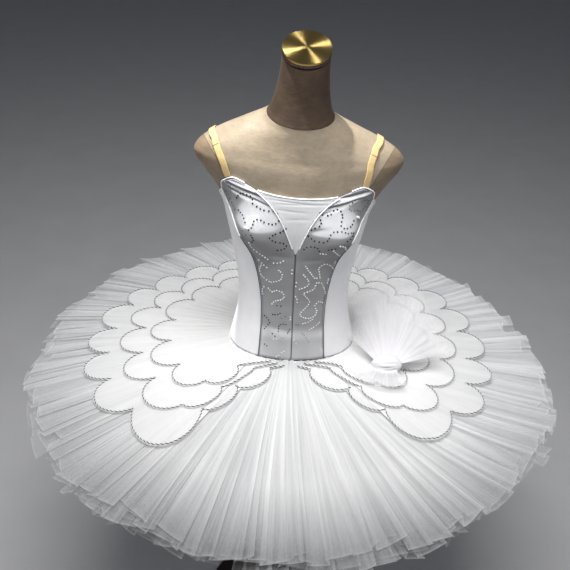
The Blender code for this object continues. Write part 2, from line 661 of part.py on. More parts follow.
# ---------------------------------------------------------------- nets
for net in NETS:
    name, _, _, _, pleats, rise, steps = net
    rows = []
    for share in steps:
        row = []
        for j in range(2 * pleats):
            azimuth = 180 * j / pleats
            radius, height = net_surface(azimuth, share, net)
            fold = rise * share * (1 if j % 2 else -1)
            uneven = 1 + 0.012 * share * math.sin(2.4 * j)
            x, y = plan(azimuth, radius * uneven)
            row.append((x, y, height + fold))
        rows.append(row)
    cloth(name, rows, NET, "white_net", closed=True)

# ---------------------------------------------------------------- overlays


def scallops(table, steps):
    """The outline of an overlay and, for each of its points, the hip angle it hangs from."""
    outline, hang = [], []
    for (a0, r0, _), (a1, r1, bulge) in zip(table, table[1:]):
        start, end = plan(a0, r0), plan(a1, r1)
        chord = end - start
        out = np.array([chord[1], -chord[0]]) / np.linalg.norm(chord)
        for i in range(steps):
            turn = math.pi * i / steps
            outline.append(start + chord * (1 - math.cos(turn)) / 2
                           + out * bulge * math.sin(turn))
            hang.append(a0 + (a1 - a0) * (1 - math.cos(turn)) / 2)
    outline.append(plan(table[-1][0], table[-1][1]))
    hang.append(table[-1][0])
    return outline, hang


for tier, rise, steps, tables in OVERLAYS:
    for side, word in ((1, "left"), (-1, "right")):
        outline, hang = scallops(tables[side], steps)
        rows = []
        for share in (0.0, 1.0):
            row = []
            for rim, azimuth in zip(outline, hang):
                root = plan(azimuth, hip_radius(azimuth) + 0.0006)
                x, y = root + (rim - root) * share
                row.append(over_top_net(x, y, rise))
            rows.append(row if side > 0 else mirrored(row))
        cloth("overlay_" + tier + "_" + word, rows, OVERLAY, "overlay_net")
        path = []
        for rim, azimuth in zip(outline, hang):
            root = plan(azimuth, hip_radius(azimuth) + 0.0006)
            reach = np.linalg.norm(rim - root)
            x, y = root + (rim - root) * max(1 - CORD_INSET / reach, 0.4)
            path.append(over_top_net(x, y, rise + CORD_RADIUS + 0.0011))
        tube("overlay_cord_" + tier + "_" + word,
             [(side * p[0], p[1], p[2]) for p in path], CORD_RADIUS, "dark_braid")

# ---------------------------------------------------------------- hip bow
perch = over_top_net(KNOT["x"], KNOT["y"], OVERLAYS[-1][1])
knot_at = perch + np.array([0.0, 0.0, KNOT["lift"]])


def fan(name, size, edge, crown, steps):
    """Gathered net spreading from the knot in rays."""
    rows = []
    for along, lifted in steps:
        row = []
        for j in range(2 * size["rays"] + 1):
            share = j / size["rays"] - 1.0
            a = math.radians(size["heading"] + size["spread"] * share)
            reach = size["length"] * along * np.interp(share, *zip(*edge))
            across, ahead = KNOT["half"][0] + ROOT_GAP, KNOT["half"][1] + ROOT_GAP
            fold = size["rise"] * along * (1 if j % 2 else -1)
            rise = lifted * np.interp(share, *zip(*crown))
            row.append(knot_at + np.array(
                [(reach + across) * math.sin(a), (reach + ahead) * math.cos(a), rise + fold]))
        rows.append(row)
    return cloth(name, rows, NET, "white_net")


fan("hip_bow_fan", FAN, FAN_EDGE, FAN_CROWN, FAN_STEPS)
fan("hip_bow_tail", TAIL, TAIL_EDGE, TAIL_CROWN, TAIL_STEPS)
bpy.ops.mesh.primitive_uv_sphere_add(segments=14, ring_count=8, radius=1.0)
knot = bpy.context.active_object
for home in list(knot.users_collection):
    home.objects.unlink(knot)
collection.objects.link(knot)
knot.name = knot.data.name = "hip_bow_knot"
knot.scale = KNOT["half"]
knot.location = knot_at
knot.parent = stand_point
knot.data.materials.append(material("white_net"))
knot.data.shade_smooth()

# ---------------------------------------------------------------- shoulders
# The form leans: its left shoulder is a little lower than its right.
def ease(t):
    t = min(1.0, max(0.0, t))
    return t * t * (3 - 2 * t)


def dipped(x, z):
    height = z - SKIRT_HEIGHT
    share = ease((height - 0.12) / 0.24) * ease((0.575 - height) / 0.075)
    t = abs(x) / 0.062
    bend = t if t < 1 else t - (min(t, 2.5) - 1) ** 2 / 3 - max(t - 2.5, 0.0)
    return z - SHOULDER_DIP * math.copysign(bend, x) * share


LEANING = ("form_torso", "form_arm", "form_neck", "bodice", "back_placket", "strap",
           "neck_binding", "cup_piping", "seam_braid", "plastron_binding")
for made in collection.objects:
    if not made.name.startswith(LEANING):
        continue
    if made.type == "CURVE":
        for line in made.data.splines:
            for spot in line.points:
                spot.co.z = dipped(spot.co.x, spot.co.z)
    else:
        for spot in made.data.vertices:
            spot.co.z = dipped(spot.co.x, spot.co.z)
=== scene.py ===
"""Looks for the ballet tutu on its dress form: thin pleated nets, scalloped
overlays with twisted cords, a studded satin bodice, and the covered form.

Metres, +Z up, the front faces -Y, +X is the wearer's left.
"""

import json
import math

import bmesh
import bpy
import numpy as np
from mathutils import Matrix, Vector

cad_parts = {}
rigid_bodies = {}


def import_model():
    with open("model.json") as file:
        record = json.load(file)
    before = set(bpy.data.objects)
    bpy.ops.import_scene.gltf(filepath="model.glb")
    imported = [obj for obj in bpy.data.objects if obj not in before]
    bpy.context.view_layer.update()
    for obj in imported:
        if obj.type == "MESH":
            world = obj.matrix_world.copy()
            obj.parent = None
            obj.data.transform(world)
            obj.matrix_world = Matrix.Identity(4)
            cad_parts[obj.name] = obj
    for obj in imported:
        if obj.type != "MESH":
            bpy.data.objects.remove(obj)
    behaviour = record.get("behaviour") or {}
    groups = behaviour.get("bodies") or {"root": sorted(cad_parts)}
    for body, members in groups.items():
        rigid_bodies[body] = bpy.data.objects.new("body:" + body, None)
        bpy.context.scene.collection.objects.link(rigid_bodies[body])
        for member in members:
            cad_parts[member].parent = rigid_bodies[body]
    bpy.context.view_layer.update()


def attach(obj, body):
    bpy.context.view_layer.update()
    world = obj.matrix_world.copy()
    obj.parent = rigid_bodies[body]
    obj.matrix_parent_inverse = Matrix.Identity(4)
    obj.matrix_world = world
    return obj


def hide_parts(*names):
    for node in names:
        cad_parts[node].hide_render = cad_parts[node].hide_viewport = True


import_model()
cad_names = {made.name for made in bpy.data.objects}
scene = bpy.context.scene
BODY = "root"

# ------------------------------------------------------------------ sizes
# The same driving sizes as the part.
SKIRT_HEIGHT = 0.84
CLEAR, CLOTH = 0.0020, 0.0012
SEAM_HALF = 0.15
BODICE_HEM = 0.0062
BRIEF_TOP = 0.0045
NET_CLEAR = 0.0042
FORM_BOTTOM = -0.200

FIGURE = [
    # height  half_width front   back    squareness lean
    (-0.200, 0.1420, 0.0930, 0.1070, 0.93, 0.00),
    (-0.160, 0.1490, 0.0970, 0.1140, 0.93, 0.00),
    (-0.120, 0.1520, 0.0990, 0.1190, 0.93, 0.00),
    (-0.070, 0.1490, 0.0990, 0.1180, 0.93, 0.00),
    (-0.030, 0.1370, 0.0960, 0.1080, 0.93, 0.00),
    (0.005, 0.1255, 0.0910, 0.0990, 0.93, 0.00),
    (0.050, 0.1145, 0.0850, 0.0880, 0.93, 0.00),
    (0.085, 0.1080, 0.0810, 0.0800, 0.93, 0.00),
    (0.125, 0.1060, 0.0810, 0.0780, 0.93, 0.00),
    (0.165, 0.1092, 0.0850, 0.0800, 0.93, 0.00),
    (0.200, 0.1142, 0.0890, 0.0840, 0.93, 0.00),
    (0.240, 0.1215, 0.0930, 0.0890, 0.93, 0.00),
    (0.265, 0.1265, 0.0955, 0.0915, 0.93, 0.00),
    (0.290, 0.1315, 0.0965, 0.0940, 0.93, 0.00),
    (0.312, 0.1365, 0.0955, 0.0960, 0.93, 0.00),
    (0.335, 0.1470, 0.0925, 0.0975, 0.94, 0.00),
    (0.357, 0.1610, 0.0885, 0.0980, 0.95, 0.00),
    (0.378, 0.1770, 0.0835, 0.0970, 0.96, 0.01),
    (0.396, 0.1890, 0.0785, 0.0945, 0.98, 0.02),
    (0.406, 0.1915, 0.0750, 0.0918, 1.00, 0.03),
    (0.418, 0.1855, 0.0705, 0.0870, 1.03, 0.06),
    (0.4295, 0.1715, 0.0670, 0.0820, 1.06, 0.09),
    (0.440, 0.1520, 0.0640, 0.0765, 1.09, 0.13),
    (0.449, 0.1310, 0.0615, 0.0710, 1.10, 0.16),
    (0.4585, 0.1080, 0.0590, 0.0660, 1.08, 0.18),
    (0.4675, 0.0850, 0.0570, 0.0620, 1.05, 0.19),
    (0.4755, 0.0690, 0.0550, 0.0580, 1.02, 0.20),
    (0.482, 0.0615, 0.0535, 0.0550, 1.00, 0.20),
]
CUP = dict(around=34.0, height=0.283, wide=20.0, tall=0.040, rise=0.0190)
FORM_CUP_SHARE = 0.46
NECK = [
    # height  centre_y half_width half_depth lean
    (0.4826, -0.0008, 0.0612, 0.0540, 0.20),
    (0.4920, 0.0006, 0.0556, 0.0511, 0.24),
    (0.5090, 0.0034, 0.0505, 0.0478, 0.31),
    (0.5320, 0.0078, 0.0462, 0.0453, 0.39),
    (0.5600, 0.0125, 0.0434, 0.0436, 0.44),
    (0.5840, 0.0168, 0.0424, 0.0426, 0.4877),
]
CAP_RADIUS, CAP_THICK, CAP_TILT = 0.0432, 0.005, 26.0
CAP_RIM_RADIUS, CAP_RIM_THICK = 0.0430, 0.008
NECK_SWAY = 0.0062           # how far the neck leans to the wearer's left at its top
SHOULDER_DIP = 0.0033        # how far the figure drops at the left of the neck's foot
SEAMS = [
    # princess       side          back_princess  centre_back
    ((28.7, 0.000), (90, 0.000), (140, 0.000), (180, 0.000)),
    ((30.2, 0.050), (90, 0.048), (140, 0.040), (180, 0.036)),
    ((31.7, 0.100), (90, 0.095), (140, 0.080), (180, 0.074)),
    ((32.7, 0.150), (90, 0.140), (140, 0.118), (180, 0.108)),
    ((34.9, 0.200), (90, 0.184), (140, 0.154), (180, 0.142)),
    ((37.3, 0.238), (90, 0.216), (140, 0.184), (180, 0.168)),
    ((39.4, 0.262), (90, 0.238), (140, 0.206), (180, 0.190)),
    ((44.6, 0.284), (90, 0.257), (140, 0.224), (180, 0.206)),
    ((52.6, 0.304), (90, 0.274), (140, 0.239), (180, 0.220)),
    ((58.4, 0.322), (90, 0.288), (140, 0.251), (180, 0.231)),
    ((59.4, 0.337), (90, 0.300), (140, 0.261), (180, 0.240)),
    ((58.3, 0.349), (90, 0.309), (140, 0.268), (180, 0.246)),
]
FRONT_INNER = [
    # angle  height: the centre front, then the cup's edge
    (0.0, 0.000), (0.0, 0.050), (0.0, 0.100), (0.0, 0.150), (0.0, 0.200),
    (0.0, 0.240), (2.2, 0.263), (5.2, 0.286), (9.2, 0.312), (14.2, 0.334),
    (19.6, 0.351), (25.0, 0.363), (31.5, 0.372), (38.5, 0.3775),
]
CUP_CORNER = [(54.5, 0.360), (48.5, 0.3685)]
PLASTRON_LEVELS = range(5, 12)
PLASTRON_DIP = 0.007
LEG_LINE = [
    # angle  height
    (0, -0.172), (14, -0.166), (28, -0.140), (44, -0.108), (60, -0.084),
    (76, -0.070), (90, -0.066), (106, -0.078), (124, -0.108), (142, -0.142),
    (160, -0.164), (180, -0.170),
]
NETS = {
    # name       rim     rim_drop hip_drop
    "net_1_top": (0.533, 0.0560, 0.0040),
    "net_2": (0.539, 0.0690, 0.0115),
    "net_3": (0.531, 0.0790, 0.0190),
    "net_4": (0.517, 0.0885, 0.0265),
    "net_5": (0.497, 0.0970, 0.0340),
    "net_6": (0.470, 0.1040, 0.0415),
}
CREST = 0.0048               # top net's pleats at the rim
RIM_WAVES = [(0.0055, 5, 0.7), (0.0040, 9, 2.1), (0.0030, 17, 0.2)]
OVERLAYS = {
    # tier: height over the top net's crests, then for each side (angle, radius, bulge)
    "outer": (0.0028, {
        1: [
            (7.0, 0.1055, 0.000), (20.0, 0.1180, 0.001), (37.7, 0.1920, 0.030),
            (41.8, 0.2720, 0.026), (58.4, 0.3620, 0.076), (73.8, 0.3670, 0.051),
            (87.0, 0.3690, 0.052), (102.5, 0.3730, 0.050), (116.5, 0.3820, 0.047),
            (129.5, 0.3860, 0.040), (141.5, 0.3720, 0.038), (153.5, 0.3570, 0.036),
            (165.5, 0.3460, 0.035), (176.5, 0.3380, 0.034),
        ],
        -1: [
            (7.0, 0.1055, 0.000), (21.0, 0.1200, 0.001), (33.8, 0.1920, 0.028),
            (36.6, 0.2750, 0.025), (54.0, 0.3660, 0.092), (70.3, 0.3780, 0.052),
            (83.6, 0.3780, 0.052), (96.9, 0.3810, 0.052), (111.3, 0.3840, 0.052),
            (123.0, 0.3710, 0.046), (136.0, 0.3650, 0.040), (149.5, 0.3550, 0.037),
            (163.0, 0.3460, 0.036), (176.5, 0.3380, 0.034),
        ],
    }),
    "middle": (0.0056, {
        1: [
            (15.0, 0.1035, 0.000), (36.5, 0.1340, 0.000), (43.0, 0.2060, 0.009),
            (48.5, 0.2890, 0.024), (64.9, 0.2980, 0.046), (83.0, 0.3110, 0.042),
            (99.5, 0.3130, 0.041), (115.0, 0.3180, 0.042), (130.5, 0.3130, 0.039),
            (145.5, 0.3070, 0.036), (161.0, 0.3000, 0.036), (176.5, 0.2940, 0.034),
        ],
        -1: [
            (15.0, 0.1035, 0.000), (33.0, 0.1380, 0.001), (38.9, 0.2140, 0.009),
            (43.7, 0.2930, 0.025), (63.2, 0.2970, 0.050), (80.2, 0.3090, 0.051),
            (96.7, 0.3140, 0.051), (111.5, 0.3140, 0.051), (126.0, 0.3060, 0.044),
            (142.0, 0.3030, 0.039), (159.0, 0.2980, 0.037), (176.5, 0.2940, 0.034),
        ],
    }),
    "inner": (0.0084, {
        1: [
            (26.0, 0.1080, 0.000), (36.0, 0.1195, 0.000), (45.0, 0.1470, 0.000), (50.9, 0.2190, 0.018),
            (68.0, 0.2390, 0.037), (87.5, 0.2500, 0.049), (106.5, 0.2600, 0.043),
            (126.0, 0.2680, 0.039), (143.5, 0.2610, 0.034), (160.5, 0.2540, 0.032),
            (176.5, 0.2480, 0.030),
        ],
        -1: [
            (22.0, 0.1065, 0.000), (32.0, 0.1220, 0.000), (43.6, 0.1550, 0.000),
            (47.7, 0.2240, 0.027), (65.8, 0.2430, 0.041), (85.3, 0.2520, 0.050),
            (102.6, 0.2570, 0.048), (122.2, 0.2590, 0.043), (139.5, 0.2570, 0.032),
            (158.0, 0.2530, 0.032), (176.5, 0.2480, 0.030),
        ],
    }),
}
CORD_INSET = 0.0022
KNOT = dict(x=0.188, y=-0.107, lift=0.0215, half=(0.030, 0.019, 0.017))
FAN_EDGE = [(-1, 0.42), (-0.8, 0.52), (-0.6, 0.80), (-0.4, 0.93), (-0.2, 1.0), (0.0, 0.98),
          (0.2, 0.88), (0.4, 0.74), (0.6, 0.68), (0.8, 0.66), (1, 0.64)]
FAN_CROWN = [(-1, 0.022), (-0.8, 0.044), (-0.6, 0.072), (-0.4, 0.086), (-0.2, 0.090),
           (0.0, 0.088), (0.2, 0.080), (0.4, 0.066), (0.6, 0.048), (0.8, 0.030), (1, 0.012)]
TAIL_EDGE, TAIL_CROWN = [(-1, 0.9), (1, 0.9)], [(-1, -0.0110), (1, -0.0110)]
ROOT_GAP = 0.0012
STRAP_WIDTH, STRAP_THICK, STRAP_CLEAR = 0.0125, 0.0010, 0.0020
STRAPS = {
    # side: (angle, height)
    1: [(41.2, 0.3790), (40.2, 0.3925), (40.8, 0.4060), (43.5, 0.4180),
        (52.0, 0.4310), (67.0, 0.4410), (88.0, 0.4435), (107.0, 0.4395),
        (123.0, 0.4250), (132.5, 0.4040), (137.0, 0.3800), (139.5, 0.3450),
        (141.0, 0.3100), (142.0, 0.2745)],
    -1: [(43.4, 0.3790), (43.2, 0.3925), (44.6, 0.4050), (49.0, 0.4160),
         (58.0, 0.4275), (72.0, 0.4360), (88.0, 0.4375), (105.0, 0.4340),
         (121.0, 0.4205), (131.5, 0.4020), (137.0, 0.3790), (139.5, 0.3450),
         (141.0, 0.3100), (142.0, 0.2745)],
}
ARM_PLANE = dict(x=0.1375, z=0.360, slope=0.50, turn=0.30, underside=0.323)


# --------------------------------------------------------------- geometry
class Through:
    """A cubic through a table's rows that doesn't overshoot them, for arrays."""

    def __init__(self, xs, ys):
        self.xs, self.ys = np.array(xs, float), np.array(ys, float)
        step = np.diff(self.ys) / np.diff(self.xs)
        slope = np.zeros(len(self.xs))
        slope[0], slope[-1] = step[0], step[-1]
        for i in range(1, len(self.xs) - 1):
            if step[i - 1] * step[i] > 0:
                slope[i] = 2 * step[i - 1] * step[i] / (step[i - 1] + step[i])
        self.slope = slope

    def __call__(self, x):
        x = np.clip(np.asarray(x, float), self.xs[0], self.xs[-1])
        i = np.clip(np.searchsorted(self.xs, x, side="right") - 1, 0, len(self.xs) - 2)
        h = self.xs[i + 1] - self.xs[i]
        t = (x - self.xs[i]) / h
        return ((2 * t**3 - 3 * t**2 + 1) * self.ys[i]
                + (t**3 - 2 * t**2 + t) * h * self.slope[i]
                + (-2 * t**3 + 3 * t**2) * self.ys[i + 1]
                + (t**3 - t**2) * h * self.slope[i + 1])


def spread_through(table):
    """One Through for each column, along the table's row numbers."""
    rows = np.array(table, float)
    return [Through(range(len(rows)), rows[:, k]) for k in range(rows.shape[1])]


SECTION = [Through([r[0] for r in FIGURE], [r[k] for r in FIGURE]) for k in range(1, 6)]


def figure(angle, height, off=0.0, cups=1.0):
    angle, height, off = np.broadcast_arrays(
        np.asarray(angle, float), np.asarray(height, float), np.asarray(off, float))
    half_width, front, back, square, lean = [f(height) for f in SECTION]
    a = np.radians(angle)
    s, c = np.sin(a), np.cos(a)
    depth = np.where(c > 0, front, back)
    x = (half_width + off) * np.sign(s) * np.abs(s) ** square
    y = -(depth + off) * np.sign(c) * np.abs(c) ** square
    away = (np.abs((angle + 180) % 360 - 180) - CUP["around"]) / CUP["wide"]
    up = (height - CUP["height"]) / CUP["tall"]
    bulge = cups * CUP["rise"] * np.exp(-(away**2) - up**2)
    return np.stack([x + bulge * s, y - bulge * c,
                     height + lean * y + SKIRT_HEIGHT], axis=-1)


def figure_normal(angle, height, off=0.0, cups=1.0):
    across = (figure(np.asarray(angle) + 0.5, height, off, cups)
              - figure(np.asarray(angle) - 0.5, height, off, cups))
    up = (figure(angle, np.asarray(height) + 0.002, off, cups)
          - figure(angle, np.asarray(height) - 0.002, off, cups))
    n = np.cross(across, up)
    return n / np.linalg.norm(n, axis=-1, keepdims=True)


def hip_radius(azimuth, drop=0.0040, clear=NET_CLEAR):
    half_width, front, back, square, _ = [f(-drop - 0.003) for f in SECTION]
    a = np.radians(azimuth)
    s, c = np.abs(np.sin(a)), np.cos(a)
    wide = half_width + clear
    deep = np.where(c > 0, front, back) + clear
    return ((s / wide) ** (2 / square) + (np.abs(c) / deep) ** (2 / square)) ** (-square / 2)


def hem_radius(azimuth, height, off):
    """Radius of the bodice's outside at a height over the hem line, and this far off it."""
    turn = np.abs((np.asarray(azimuth, float) + 180) % 360 - 180)
    off = (off + CLEAR + CLOTH + 0.0021 * np.exp(-((turn - 28.7) / 1.3) ** 2)
           + 0.0015 * np.clip((turn - 171) / 3, 0, 1))
    return hip_radius(azimuth, -np.asarray(height, float) - 0.003, off)


def plan(azimuth, radius):
    a = np.radians(azimuth)
    return np.stack([radius * np.sin(a), -radius * np.cos(a)], axis=-1)


def rim_wave(azimuth):
    a = np.radians(azimuth)
    return sum(size * np.sin(count * a + turn) for size, count, turn in RIM_WAVES)


def over_top_net(x, y, lift):
    """Height over the crests of the top net's pleats."""
    rim, rim_drop, hip_drop = NETS["net_1_top"]
    inner = hip_radius(np.degrees(np.arctan2(x, -y)))
    share = np.clip((np.hypot(x, y) - inner) / (rim - inner), 0, 1)
    return SKIRT_HEIGHT - hip_drop - (rim_drop - hip_drop) * share + CREST * share + lift


# ------------------------------------------------------------ mesh making
def mesh_of(name, points, faces, uv=None, attributes=None, smooth=True):
    """A mesh from arrays: points (n,3), faces (m,3 or 4) and a UV a point."""
    data = bpy.data.meshes.new(name)
    points = np.ascontiguousarray(points, np.float32).reshape(-1, 3)
    faces = np.ascontiguousarray(faces, np.int32)
    sides = faces.shape[1]
    data.vertices.add(len(points))
    data.vertices.foreach_set("co", points.ravel())
    data.loops.add(faces.size)
    data.loops.foreach_set("vertex_index", faces.ravel())
    data.polygons.add(len(faces))
    data.polygons.foreach_set("loop_start", np.arange(0, faces.size, sides, dtype=np.int32))
    data.polygons.foreach_set("loop_total", np.full(len(faces), sides, np.int32))
    data.update(calc_edges=True)
    if uv is not None:
        layer = data.uv_layers.new(name="Flat")
        flat = np.ascontiguousarray(uv, np.float32).reshape(-1, 2)[faces.ravel()]
        layer.data.foreach_set("uv", flat.ravel())
    for key, values in (attributes or {}).items():
        made = data.attributes.new(key, "FLOAT", "POINT")
        made.data.foreach_set("value", np.ascontiguousarray(values, np.float32).ravel())
    data.polygons.foreach_set("use_smooth", np.full(len(faces), smooth))
    data.validate()
    return data


def sharpen(data, columns, folds, period):
    """Sharp edges down the columns of a grid where it is folded."""
    ends = np.empty(len(data.edges) * 2, np.int32)
    data.edges.foreach_get("vertices", ends)
    column = ends.reshape(-1, 2) % columns
    sharp = (column[:, 0] == column[:, 1]) & np.isin(column[:, 0] % period, folds)
    marked = data.attributes.new("sharp_edge", "BOOLEAN", "EDGE")
    marked.data.foreach_set("value", sharp)


def grid_faces(rows, columns, closed=False):
    i, j = np.meshgrid(np.arange(rows - 1), np.arange(columns if closed else columns - 1),
                       indexing="ij")
    k = (j + 1) % columns
    return np.stack([i * columns + j, i * columns + k,
                     (i + 1) * columns + k, (i + 1) * columns + j], -1).reshape(-1, 4)


def add(name, data, material, replaces=()):
    """An object on the root body, standing for its CAD nodes."""
    made = bpy.data.objects.new(name, data)
    scene.collection.objects.link(made)
    for m in material if isinstance(material, (list, tuple)) else [material]:
        data.materials.append(m)
    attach(made, BODY)
    if replaces:
        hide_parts(*([replaces] if isinstance(replaces, str) else replaces))
    return made


def shell(made, thickness, offset=1.0):
    wall = made.modifiers.new("wall", "SOLIDIFY")
    wall.thickness, wall.offset = thickness, offset
    wall.use_even_offset = False
    return made


def flat_size(points):
    """(width, length, area) of a cut, from its rows of points."""
    points = np.asarray(points, float)
    width = np.linalg.norm(np.diff(points, axis=1), axis=2).sum(1).max()
    length = np.linalg.norm(np.diff(points, axis=0), axis=2).sum(0).max()
    a, b = points[:-1, :-1], points[1:, 1:]
    c, d = points[:-1, 1:], points[1:, :-1]
    area = (np.linalg.norm(np.cross(c - a, b - a), axis=2).sum()
            + np.linalg.norm(np.cross(b - a, d - a), axis=2).sum()) / 2
    return float(width), float(length), float(area)


def declare(points, scale=1.0):
    width, length, area = flat_size(points)
    width, length = width * 1.004, length * 1.004
    area = min(area * scale, width * length)


def frames_along(points, up=None):
    """Tangent and two across directions along a line of points."""
    points = np.asarray(points, float)
    tangent = np.gradient(points, axis=0)
    tangent /= np.linalg.norm(tangent, axis=1, keepdims=True)
    if up is None:
        up = np.array([0.0, 0.0, 1.0])
    up = np.broadcast_to(up, points.shape)
    across = np.cross(up, tangent)
    across /= np.maximum(np.linalg.norm(across, axis=1, keepdims=True), 1e-9)
    return tangent, across, np.cross(tangent, across)


def resampled(points, step):
    points = np.asarray(points, float)
    along = np.concatenate([[0], np.cumsum(np.linalg.norm(np.diff(points, axis=0), axis=1))])
    count = max(2, int(round(along[-1] / step)) + 1)
    at = np.linspace(0, along[-1], count)
    return np.stack([np.interp(at, along, points[:, k]) for k in range(3)], 1), at


def tube_arrays(points, radius, sides, up=None, phase=0.0):
    """Points, faces and UV (metres along, share round) of a round tube; its ends are left open."""
    tangent, across, lift = frames_along(points, up)
    angle = 2 * np.pi * np.arange(sides) / sides + phase
    radius = np.broadcast_to(np.asarray(radius, float), (len(points),))
    ring = (points[:, None] + radius[:, None, None] * (
        np.cos(angle)[None, :, None] * across[:, None]
        + np.sin(angle)[None, :, None] * lift[:, None]))
    along = np.concatenate([[0], np.cumsum(np.linalg.norm(np.diff(points, axis=0), axis=1))])
    verts = ring.reshape(-1, 3)
    faces = grid_faces(len(points), sides, closed=True)[:, ::-1]
    uv = np.stack(np.broadcast_arrays(along[:, None], np.arange(sides)[None, :] / sides), -1)
    caps, n = [], len(verts)
    verts = np.concatenate([verts, points[:1], points[-1:]])
    for base, centre, turn in ((0, n, 1), (n - sides, n + 1, -1)):
        for j in range(sides):
            a, b = base + j, base + (j + 1) % sides
            caps.append((centre, b, a, a)[::turn] if turn > 0 else (centre, a, b, b))
    uv = np.concatenate([uv.reshape(-1, 2), [[0, 0], [along[-1], 0]]])
    return verts, faces, uv


def tube(name, points, radius, sides, material, replaces=(), up=None):
    verts, faces, uv = tube_arrays(np.asarray(points, float), radius, sides, up)
    return add(name, mesh_of(name, verts, faces, uv), material, replaces)


def twisted(name, points, radius, pitch, step, materials, replaces, up=None):
    """Two strands wound round a line."""
    line, along = resampled(points, step)
    _, across, lift = frames_along(line, up)
    all_verts, all_faces, all_uv, kinds, n = [], [], [], [], 0
    for k, thick in ((0, 0.66), (1, 0.50)):
        turn = 2 * np.pi * along / pitch + np.pi * k
        strand = line + radius * 0.52 * (np.cos(turn)[:, None] * across
                                         + np.sin(turn)[:, None] * lift)
        verts, faces, uv = tube_arrays(strand, radius * thick, 5, up)
        all_verts.append(verts)
        all_faces.append(faces + n)
        all_uv.append(uv)
        kinds += [k] * len(faces)
        n += len(verts)
    data = mesh_of(name, np.concatenate(all_verts), np.concatenate(all_faces),
                   np.concatenate(all_uv))
    made = add(name, data, materials, replaces)
    data.polygons.foreach_set("material_index", np.array(kinds, np.int32))
    return made


def lathe(name, profile, sides, material, replaces, place=None, sharp=40):
    """A turned piece round Z from its (radius, height) outline, top to bottom."""
    points = np.array(profile, float)
    angle = 2 * np.pi * np.arange(sides) / sides
    ring = np.stack([points[:, 0, None] * np.cos(angle), points[:, 0, None] * np.sin(angle),
                     np.broadcast_to(points[:, 1, None], (len(points), sides))], -1)
    data = mesh_of(name, ring, grid_faces(len(points), sides, closed=True)[:, ::-1])
    build = bmesh.new()
    build.from_mesh(data)
    bmesh.ops.remove_doubles(build, verts=build.verts, dist=1e-6)
    bmesh.ops.recalc_face_normals(build, faces=build.faces)
    build.to_mesh(data)
    build.free()
    data.shade_smooth()
    data.set_sharp_from_angle(angle=math.radians(sharp))
    made = bpy.data.objects.new(name, data)
    scene.collection.objects.link(made)
    data.materials.append(material)
    if place is not None:
        made.matrix_world = place
    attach(made, BODY)
    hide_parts(*([replaces] if isinstance(replaces, str) else replaces))
    return made


